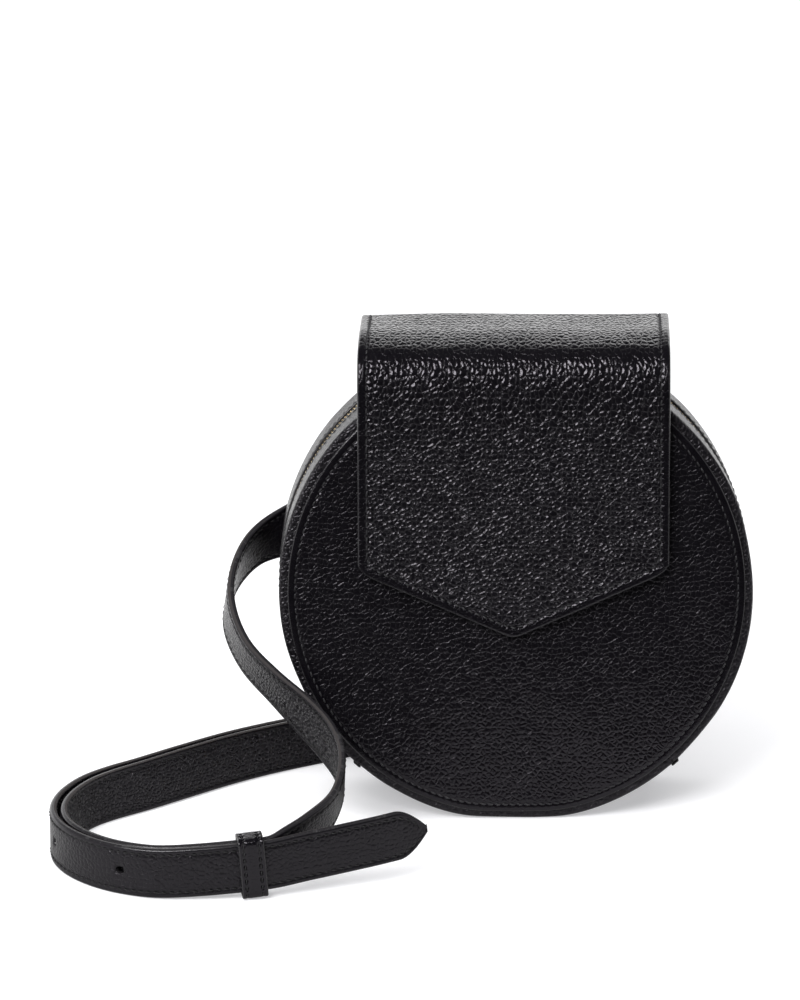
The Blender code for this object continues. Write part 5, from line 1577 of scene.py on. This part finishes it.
def pebbled_grain():
    """Rounded pebbles parted by creases, with fine wrinkles on them, pressed flat where asked, and a mask
    for the creases' painted shade.
    """
    inputs = {"Hide": None, "Cell": 0.0025, "Pressed": 0.0, "Flattening": 0.8}
    group, w, given, out = effect("pebbled grain", inputs, ("Height", "Crease Shade", "Tone"))
    where = w.scaled(given["Hide"], w.maths("DIVIDE", 1.0, given["Cell"]))
    bent = where
    for scale, reach in ((0.7, 0.8), (2.4, 0.22)):
        drift = w.noise(where, scale, 1.0).outputs["Color"]
        wander = w.node("ShaderNodeVectorMath", {0: drift, 1: (0.5, 0.5, 0.5)}, operation="SUBTRACT")
        step = w.scaled(wander.outputs[0], reach)
        bent = w.node("ShaderNodeVectorMath", {0: bent, 1: step}, operation="ADD").outputs[0]
    edges = w.node("ShaderNodeTexVoronoi", {"Vector": bent, "Scale": 1.0, "Randomness": 0.85},
                   feature="DISTANCE_TO_EDGE", voronoi_dimensions="2D")
    cells = w.node("ShaderNodeTexVoronoi", {"Vector": bent, "Scale": 1.0, "Randomness": 0.85},
                   voronoi_dimensions="2D")
    wide = w.node("ShaderNodeTexVoronoi", {"Vector": bent, "Scale": 0.43, "Randomness": 1.0},
                  feature="DISTANCE_TO_EDGE", voronoi_dimensions="2D")
    dome = w.maths("POWER", w.ranged(edges.outputs["Distance"], 0.0, 0.40, smooth=False), 0.5)
    swell = w.ranged(wide.outputs["Distance"], 0.0, 0.22)
    random = w.node("ShaderNodeSeparateColor", {"Color": cells.outputs["Color"]}).outputs["Red"]
    wrinkles = w.noise(bent, 3.4, 2.0, 0.5).outputs["Fac"]
    height = w.maths("ADD", w.maths("MULTIPLY", dome, DOME_SHARE), w.maths("MULTIPLY", swell, SWELL_SHARE))
    height = w.maths("MULTIPLY_ADD", w.maths("MULTIPLY", random, dome), UNEVEN_SHARE, height)
    height = w.maths("MULTIPLY_ADD", wrinkles, WRINKLE_SHARE, height)
    flat = w.maths("MULTIPLY", given["Pressed"], given["Flattening"])
    level = w.maths("MULTIPLY_ADD", wrinkles, WRINKLE_SHARE, PRESSED_LEVEL)
    pressed = w.node("ShaderNodeMix", {0: flat, 2: height, 3: level}).outputs[0]
    w.feed(out["Height"], pressed)
    # Crease Shade marks the creases for painted shade: darker colour where the relief would shadow them,
    # none where the hide is pressed flat.
    crease_shade = w.ranged(edges.outputs["Distance"], 0.0, 0.12, 1.0, 0.0)
    w.feed(out["Crease Shade"], w.maths("MULTIPLY", crease_shade, w.maths("SUBTRACT", 1.0, flat)))
    w.feed(out["Tone"], w.noise(where, 0.35, 3.0).outputs["Fac"])
    return group


def edge_paint():
    """Brushed edge paint: slow ripples, and a worn tone here and there."""
    group, w, given, out = effect("edge paint", {"Hide": None}, ("Height", "Wear"))
    ripple = w.noise(given["Hide"], 900.0, 2.0).outputs["Fac"]
    w.feed(out["Height"], ripple)
    worn = w.noise(given["Hide"], 160.0, 4.0, 0.7).outputs["Fac"]
    w.feed(out["Wear"], w.ranged(worn, 0.52, 0.72))
    return group


def thread_twist():
    """The slanting plies of a sewing thread."""
    group, w, given, out = effect("thread twist", {"Hide": None, "Ply": 0.00045}, ("Height", "Tone"))
    sides = w.node("ShaderNodeSeparateXYZ", {0: given["Hide"]}).outputs
    run = w.maths("DIVIDE", w.maths("ADD", sides["X"], sides["Y"]), given["Ply"])
    wave = w.maths("ABSOLUTE", w.maths("SINE", w.maths("MULTIPLY", run, math.pi)))
    w.feed(out["Height"], wave)
    w.feed(out["Tone"], w.noise(given["Hide"], 700.0, 2.0).outputs["Fac"])
    return group


def weave():
    """Threads that pass over and under each other."""
    group, w, given, out = effect("weave", {"Hide": None, "Thread": 0.0005}, ("Height", "Tone"))
    threads = w.scaled(given["Hide"], w.maths("DIVIDE", 1.0, given["Thread"]))
    sides = w.node("ShaderNodeSeparateXYZ", {0: threads})
    a, b = sides.outputs["X"], sides.outputs["Y"]
    warp = w.maths("ABSOLUTE", w.maths("SINE", w.maths("MULTIPLY", a, math.pi)))
    weft = w.maths("ABSOLUTE", w.maths("SINE", w.maths("MULTIPLY", b, math.pi)))
    step = w.maths("ADD", w.maths("FLOOR", a), w.maths("FLOOR", b))
    over = w.maths("ABSOLUTE", w.maths("MODULO", step, 2.0))
    height = w.node("ShaderNodeMix", {0: over, 2: warp, 3: weft}).outputs[0]
    w.feed(out["Height"], height)
    w.feed(out["Tone"], w.noise(given["Hide"], 260.0, 3.0).outputs["Fac"])
    return group


def polish_marks():
    """Fine hairlines and soft smudges on plated metal."""
    group, w, given, out = effect("polish marks", {"Hide": None}, ("Height", "Haze", "Tone"))
    stretched = w.node("ShaderNodeVectorMath", {0: given["Hide"], 1: (1.0, 9.0, 1.0)}, operation="MULTIPLY")
    w.feed(out["Height"], w.noise(stretched.outputs[0], 1400.0, 3.0).outputs["Fac"])
    w.feed(out["Haze"], w.noise(given["Hide"], 420.0, 4.0, 0.65).outputs["Fac"])
    w.feed(out["Tone"], w.noise(given["Hide"], 130.0, 2.0).outputs["Fac"])
    return group


GRAIN, PAINT, TWIST, WEAVE, POLISH = pebbled_grain(), edge_paint(), thread_twist(), weave(), polish_marks()


def skin_start(name, group, sockets):
    """A material with its shader and one effect placed in it: wiring, shader and the effect."""
    skin = bpy.data.materials.new(name)
    skin.use_nodes = True
    w = Wiring(skin.node_tree)
    shader = skin.node_tree.nodes["Principled BSDF"]
    hide = w.node("ShaderNodeUVMap", uv_map="hide").outputs["UV"]
    placed = w.node("ShaderNodeGroup", node_tree=group)
    for socket, value in {"Hide": hide, **sockets}.items():
        w.feed(placed.inputs[socket], value)
    return skin, w, shader, placed.outputs


def relief(w, shader, height, depth):
    bump = w.node("ShaderNodeBump", {"Height": height, "Distance": depth, "Strength": 1.0})
    w.feed(shader.inputs["Normal"], bump.outputs["Normal"])


# How far the roughness wanders with the hide's tone, and the leather's gloss
DULL_RANGE = 0.14
LEATHER_GLOSS = 0.42
LEATHER_TINT = (0.97, 0.92, 1.0, 1.0)


def leather(name, cell, depth, dark, light, roughness, flattening=0.8):
    """Black pebbled leather: cell is the pebbles' size and depth the relief's, both in metres."""
    sockets = {"Cell": cell, "Flattening": flattening}
    skin, w, shader, grain = skin_start(name, GRAIN, sockets)
    pressed = w.node("ShaderNodeAttribute", attribute_name="pressed").outputs["Fac"]
    placed = next(n for n in skin.node_tree.nodes if n.type == "GROUP")
    w.feed(placed.inputs["Pressed"], pressed)
    # The base colour is painted darker in the creases, as shade that the bump's relief doesn't cast.
    shade = w.mixed(grain["Crease Shade"], w.mixed(grain["Tone"], (*dark, 1.0), (*light, 1.0)), (*dark, 1.0))
    w.feed(shader.inputs["Base Color"], shade)
    dull = w.maths("MULTIPLY_ADD", grain["Tone"], DULL_RANGE, roughness - DULL_RANGE / 2)
    w.feed(shader.inputs["Roughness"], dull)
    shader.inputs["Specular IOR Level"].default_value = LEATHER_GLOSS
    shader.inputs["Specular Tint"].default_value = LEATHER_TINT
    relief(w, shader, grain["Height"], depth)
    return skin


def painted_edge(name, colour, worn, roughness):
    skin, w, shader, paint = skin_start(name, PAINT, {})
    w.feed(shader.inputs["Base Color"], w.mixed(paint["Wear"], (*colour, 1.0), (*worn, 1.0)))
    w.feed(shader.inputs["Roughness"], w.maths("MULTIPLY_ADD", paint["Wear"], 0.2, roughness))
    relief(w, shader, paint["Height"], 0.00005)
    return skin


def thread_skin(name, colour, light, roughness):
    skin, w, shader, twist = skin_start(name, TWIST, {})
    # The thread's colour is painted light on the crests of its plies and dark between them: a painted
    # highlight and painted shade, for glints along the stitches.
    w.feed(shader.inputs["Base Color"], w.mixed(twist["Height"], (*colour, 1.0), (*light, 1.0)))
    w.feed(shader.inputs["Roughness"], w.maths("MULTIPLY_ADD", twist["Tone"], 0.2, roughness))
    relief(w, shader, twist["Height"], 0.00006)
    return skin


def woven(name, thread, dark, light, roughness, sheen):
    skin, w, shader, cloth = skin_start(name, WEAVE, {"Thread": thread})
    # The threads are painted lighter where they stand highest and darker where they dip, a painted highlight
    # and painted shade, and varied by a random tone.
    share = w.maths("MULTIPLY", cloth["Height"], cloth["Tone"])
    w.feed(shader.inputs["Base Color"], w.mixed(share, (*dark, 1.0), (*light, 1.0)))
    w.feed(shader.inputs["Roughness"], w.maths("MULTIPLY_ADD", cloth["Tone"], 0.15, roughness))
    shader.inputs["Sheen Weight"].default_value = sheen
    relief(w, shader, cloth["Height"], thread / 3)
    return skin


def plated(name, dark, light, roughness):
    skin, w, shader, polish = skin_start(name, POLISH, {})
    w.feed(shader.inputs["Base Color"], w.mixed(polish["Tone"], (*dark, 1.0), (*light, 1.0)))
    w.feed(shader.inputs["Roughness"], w.maths("MULTIPLY_ADD", polish["Haze"], 0.18, roughness))
    shader.inputs["Metallic"].default_value = 1.0
    relief(w, shader, polish["Height"], 0.00001)
    return skin


BLACK_DARK, BLACK_LIGHT = (0.0016, 0.0013, 0.0020), (0.0048, 0.0042, 0.0058)
suede = leather("leather_flesh_side", 0.0004, 0.00005, (0.020, 0.018, 0.018), (0.040, 0.036, 0.034), 0.85)
paint = painted_edge("edge_paint_black", (0.016, 0.015, 0.017), (0.034, 0.033, 0.035), 0.22)
# Each thread's second colour is the painted highlight on its plies' crests.
thread = thread_skin("sewing_thread_black", (0.004, 0.0037, 0.0045), (0.024, 0.023, 0.026), 0.25)
strap_thread = thread_skin("strap_thread_black", (0.0015, 0.0014, 0.0017), (0.007, 0.0065, 0.008), 0.45)
flap_hide = leather("flap_leather", 0.0021, 0.00042, BLACK_DARK, BLACK_LIGHT, 0.17, 0.72)
panel_hide = leather("panel_leather", 0.0020, 0.00021, BLACK_DARK, BLACK_LIGHT, 0.19, 0.78)
gusset_hide = leather("gusset_leather", 0.0018, 0.00030, BLACK_DARK, BLACK_LIGHT, 0.30, 0.85)
strap_hide = leather("strap_leather_grained", 0.0019, 0.00022, BLACK_DARK, BLACK_LIGHT, 0.30, 0.85)
strap_lining_hide = leather("strap_backing_grained", 0.0017, 0.00045, BLACK_DARK, BLACK_LIGHT, 0.28, 0.85)
keeper_hide = leather("keeper_leather_smooth", 0.0014, 0.00007, BLACK_DARK, BLACK_LIGHT, 0.20, 0.9)
patch_hide = leather("patch_leather", 0.0019, 0.00024, BLACK_DARK, BLACK_LIGHT, 0.40, 0.85)
FACING_DARK, FACING_LIGHT = (0.013, 0.012, 0.013), (0.021, 0.020, 0.021)
facing_hide = leather("flap_facing_leather", 0.0008, 0.00007, FACING_DARK, FACING_LIGHT, 0.55)
lining_weave = woven("lining_weave", 0.00045, (0.024, 0.022, 0.025), (0.050, 0.047, 0.052), 0.72, 0.3)
tape_weave = woven("zip_tape_weave", 0.00055, (0.012, 0.011, 0.013), (0.034, 0.032, 0.036), 0.7, 0.2)
gold = plated("pale_gold_plating", (0.72, 0.53, 0.25), (0.86, 0.69, 0.38), 0.14)
nickel = plated("satin_nickel", (0.48, 0.47, 0.45), (0.62, 0.61, 0.58), 0.26)

# The pieces
round_panel("front_panel_leather", "front_panel", -1, (panel_hide, suede, paint, thread))
round_panel("back_panel_leather", "back_panel", 1, (panel_hide, suede, paint, thread))
round_lining("front_lining_fabric", "front_lining", LINING_NEAR, (lining_weave,))
round_lining("back_lining_fabric", "back_lining", BAG_DEPTH - LINING_NEAR - LINING, (lining_weave,))
POCKET_NEAR = BAG_DEPTH - LINING_NEAR - 2 * LINING - SEAM_GAP
round_lining("slip_pocket_fabric", "slip_pocket", POCKET_NEAR, (lining_weave,), POCKET_RADIUS, POCKET_TOP)
gusset_skins = (gusset_hide, suede, paint, thread)
zip_strip("zip_gusset_front_leather", "zip_gusset_front", -1, gusset_skins)
zip_strip("zip_gusset_back_leather", "zip_gusset_back", 1, gusset_skins)
bottom_strip(gusset_skins)
end_tab("gusset_tab_left_leather", "gusset_tab_left", STRIP_END, gusset_skins)
end_tab("gusset_tab_right_leather", "gusset_tab_right", -ZIP_END_ANGLE, gusset_skins)
gusset_lining((lining_weave,))
zip_tape("zip_tape_front_weave", "zip_tape_front", -1, (tape_weave,))
zip_tape("zip_tape_back_weave", "zip_tape_back", 1, (tape_weave,))
zip_teeth("zip_teeth_front_gold", "zip_teeth_front", -1, gold)
zip_teeth("zip_teeth_back_gold", "zip_teeth_back", 1, gold)
zip_slider(gold)
zip_pull(gold)
flap_skins = (flap_hide, suede, paint, thread)
flap_rear("leather", "flap_rear_leather", ("flap_back", "flap_top"), "leather", flap_skins)
flap_front("leather", "flap_face_leather", ("flap_front",), "leather", flap_skins)
facing_skins = (facing_hide, suede, paint, thread)
flap_rear("facing", "flap_rear_facing", ("flap_back_lining", "flap_top_lining"), "flap_lining", facing_skins)
flap_front("facing", "flap_face_facing", ("flap_front_lining",), "flap_lining", facing_skins)
snap_half("snap_socket_cap", "snap_socket", "bag", -SEAM_GAP, -1, SOCKET_PROFILE, nickel)
snap_half("snap_stud_cap", "snap_stud", "flap_front", SEAM_GAP - FLAP_STANDOFF, 1, STUD_PROFILE, nickel)
belt({
    "strap": (strap_hide, suede, paint, strap_thread),
    "backing": (strap_lining_hide, suede, paint, strap_thread),
    "keeper": (keeper_hide, suede, paint, strap_thread),
    "patch": (patch_hide, suede, paint, thread),
}, gold)

# The floor, a wide disc. It isn't the same to all light: the camera sees it pale and a little
# self-lit, while reflections and bounced light see it without that glow, nearly black in front of
# the bag, grey under it and pale behind it. This keeps the leather's lower front dark
FLOOR_RADIUS = 3.2
FLOOR_SIDES = 96
FLOOR_SEEN = ((0.62, 0.62, 0.63, 1.0), (0.65, 0.65, 0.66, 1.0))
FLOOR_GLOW = (0.42, 0.42, 0.43, 1.0)
FLOOR_IN_FRONT, FLOOR_BENEATH = (0.02, 0.02, 0.02, 1.0), (0.48, 0.48, 0.48, 1.0)
FLOOR_BEHIND = (0.95, 0.95, 0.95, 1.0)


def pale_floor():
    turn = 2 * math.pi * np.arange(FLOOR_SIDES) / FLOOR_SIDES
    rim = np.stack([FLOOR_RADIUS * np.cos(turn), FLOOR_RADIUS * np.sin(turn), 0 * turn], axis=-1)
    mesh = bpy.data.meshes.new("pale_floor")
    mesh.from_pydata(rim.tolist(), [], [list(range(FLOOR_SIDES))])
    skin = bpy.data.materials.new("pale_floor_paint")
    skin.use_nodes = True
    w = Wiring(skin.node_tree)
    shader = skin.node_tree.nodes["Principled BSDF"]
    where = w.node("ShaderNodeTexCoord").outputs["Object"]
    speck = w.noise(where, 40.0, 3.0).outputs["Fac"]
    pale = w.mixed(speck, *FLOOR_SEEN)
    behind = w.node("ShaderNodeSeparateXYZ", {0: where}).outputs["Y"]
    near = w.mixed(w.ranged(behind, -0.28, -0.15), FLOOR_IN_FRONT, FLOOR_BENEATH)
    cast = w.mixed(w.ranged(behind, -0.10, 0.30), near, FLOOR_BEHIND)
    seen = w.node("ShaderNodeLightPath").outputs["Is Camera Ray"]
    w.feed(shader.inputs["Base Color"], w.mixed(seen, cast, pale))
    w.feed(shader.inputs["Emission Color"], w.mixed(seen, (0.0, 0.0, 0.0, 1.0), FLOOR_GLOW))
    shader.inputs["Emission Strength"].default_value = 1.0
    shader.inputs["Roughness"].default_value = 0.8
    shader.inputs["Specular IOR Level"].default_value = 0.1
    mesh.materials.append(skin)
    floor = bpy.data.objects.new("pale_floor", mesh)
    bpy.context.scene.collection.objects.link(floor)


pale_floor()

# The studio as reflections and bounced light see it: bright walls behind and at both sides, and
# nearly dark in front and above. The camera sees plain white in its place
BACK_GLOW = 1.6
SIDE_GLOW = 0.9
FRONT_GLOW = 0.03
SKY_GLOW = 0.06
SEEN_WHITE = 1.1


def studio():
    world = bpy.data.worlds.new("studio")
    bpy.context.scene.world = world
    world.use_nodes = True
    w = Wiring(world.node_tree)
    background = world.node_tree.nodes["Background"]
    background.inputs["Color"].default_value = (1.0, 1.0, 1.0, 1.0)
    way = w.node("ShaderNodeSeparateXYZ", {0: w.node("ShaderNodeTexCoord").outputs["Generated"]}).outputs
    behind = w.maths("MULTIPLY", w.ranged(way["Y"], 0.15, 0.55), BACK_GLOW)
    aside = w.maths("MULTIPLY", w.ranged(w.maths("ABSOLUTE", way["X"]), 0.55, 0.85), SIDE_GLOW)
    walls = w.maths("MAXIMUM", w.maths("MAXIMUM", behind, aside), FRONT_GLOW)
    above = w.ranged(way["Z"], 0.12, 0.60)
    glow = w.node("ShaderNodeMix", {0: above, 2: walls, 3: SKY_GLOW}).outputs[0]
    seen = w.node("ShaderNodeLightPath").outputs["Is Camera Ray"]
    strength = w.node("ShaderNodeMix", {0: seen, 2: glow, 3: SEEN_WHITE}).outputs[0]
    w.feed(background.inputs["Strength"], strength)


studio()


def soft_light(name, spot, aim, wide, high, power, glossy=True):
    light = bpy.data.lights.new(name, "AREA")
    light.shape = "RECTANGLE"
    light.size, light.size_y, light.energy = wide, high, power
    lamp = bpy.data.objects.new(name, light)
    bpy.context.scene.collection.objects.link(lamp)
    lamp.location = spot
    run = unit(np.array(spot) - np.array(aim))
    side = unit(np.cross(UP + [0.0, TINY, 0.0], run))
    rise = np.cross(run, side)
    lamp.rotation_euler = Matrix(np.stack([side, rise, run], axis=-1).tolist()).to_euler()
    lamp.visible_camera = False
    lamp.visible_glossy = glossy


# The softbox shows in the leather's gloss, and the top light is kept out of reflections
soft_light("front_softbox", (-0.95, -1.42, 1.50), (0.0, 0.0, 0.12), 1.3, 0.90, 50.0)
soft_light("top_light", (0.0, 0.1, 2.4), (0.0, 0.0, 0.0), 3.4, 3.4, 84.0, glossy=False)

# The camera, at the photograph's viewing angle
CAMERA_LENS = 183.6
CAMERA_SPOT = (-0.0753, -1.8874, 0.7758)
CAMERA_TILT, CAMERA_TURN = 71.0, -0.9
camera = bpy.data.cameras.new("front_camera")
camera.sensor_width = 36.0
camera.lens = CAMERA_LENS
viewer = bpy.data.objects.new("front_camera", camera)
viewer.location = CAMERA_SPOT
viewer.rotation_euler = (math.radians(CAMERA_TILT), 0.0, math.radians(CAMERA_TURN))
bpy.context.scene.collection.objects.link(viewer)
bpy.context.scene.camera = viewer
bpy.context.scene.view_settings.view_transform = "Standard"
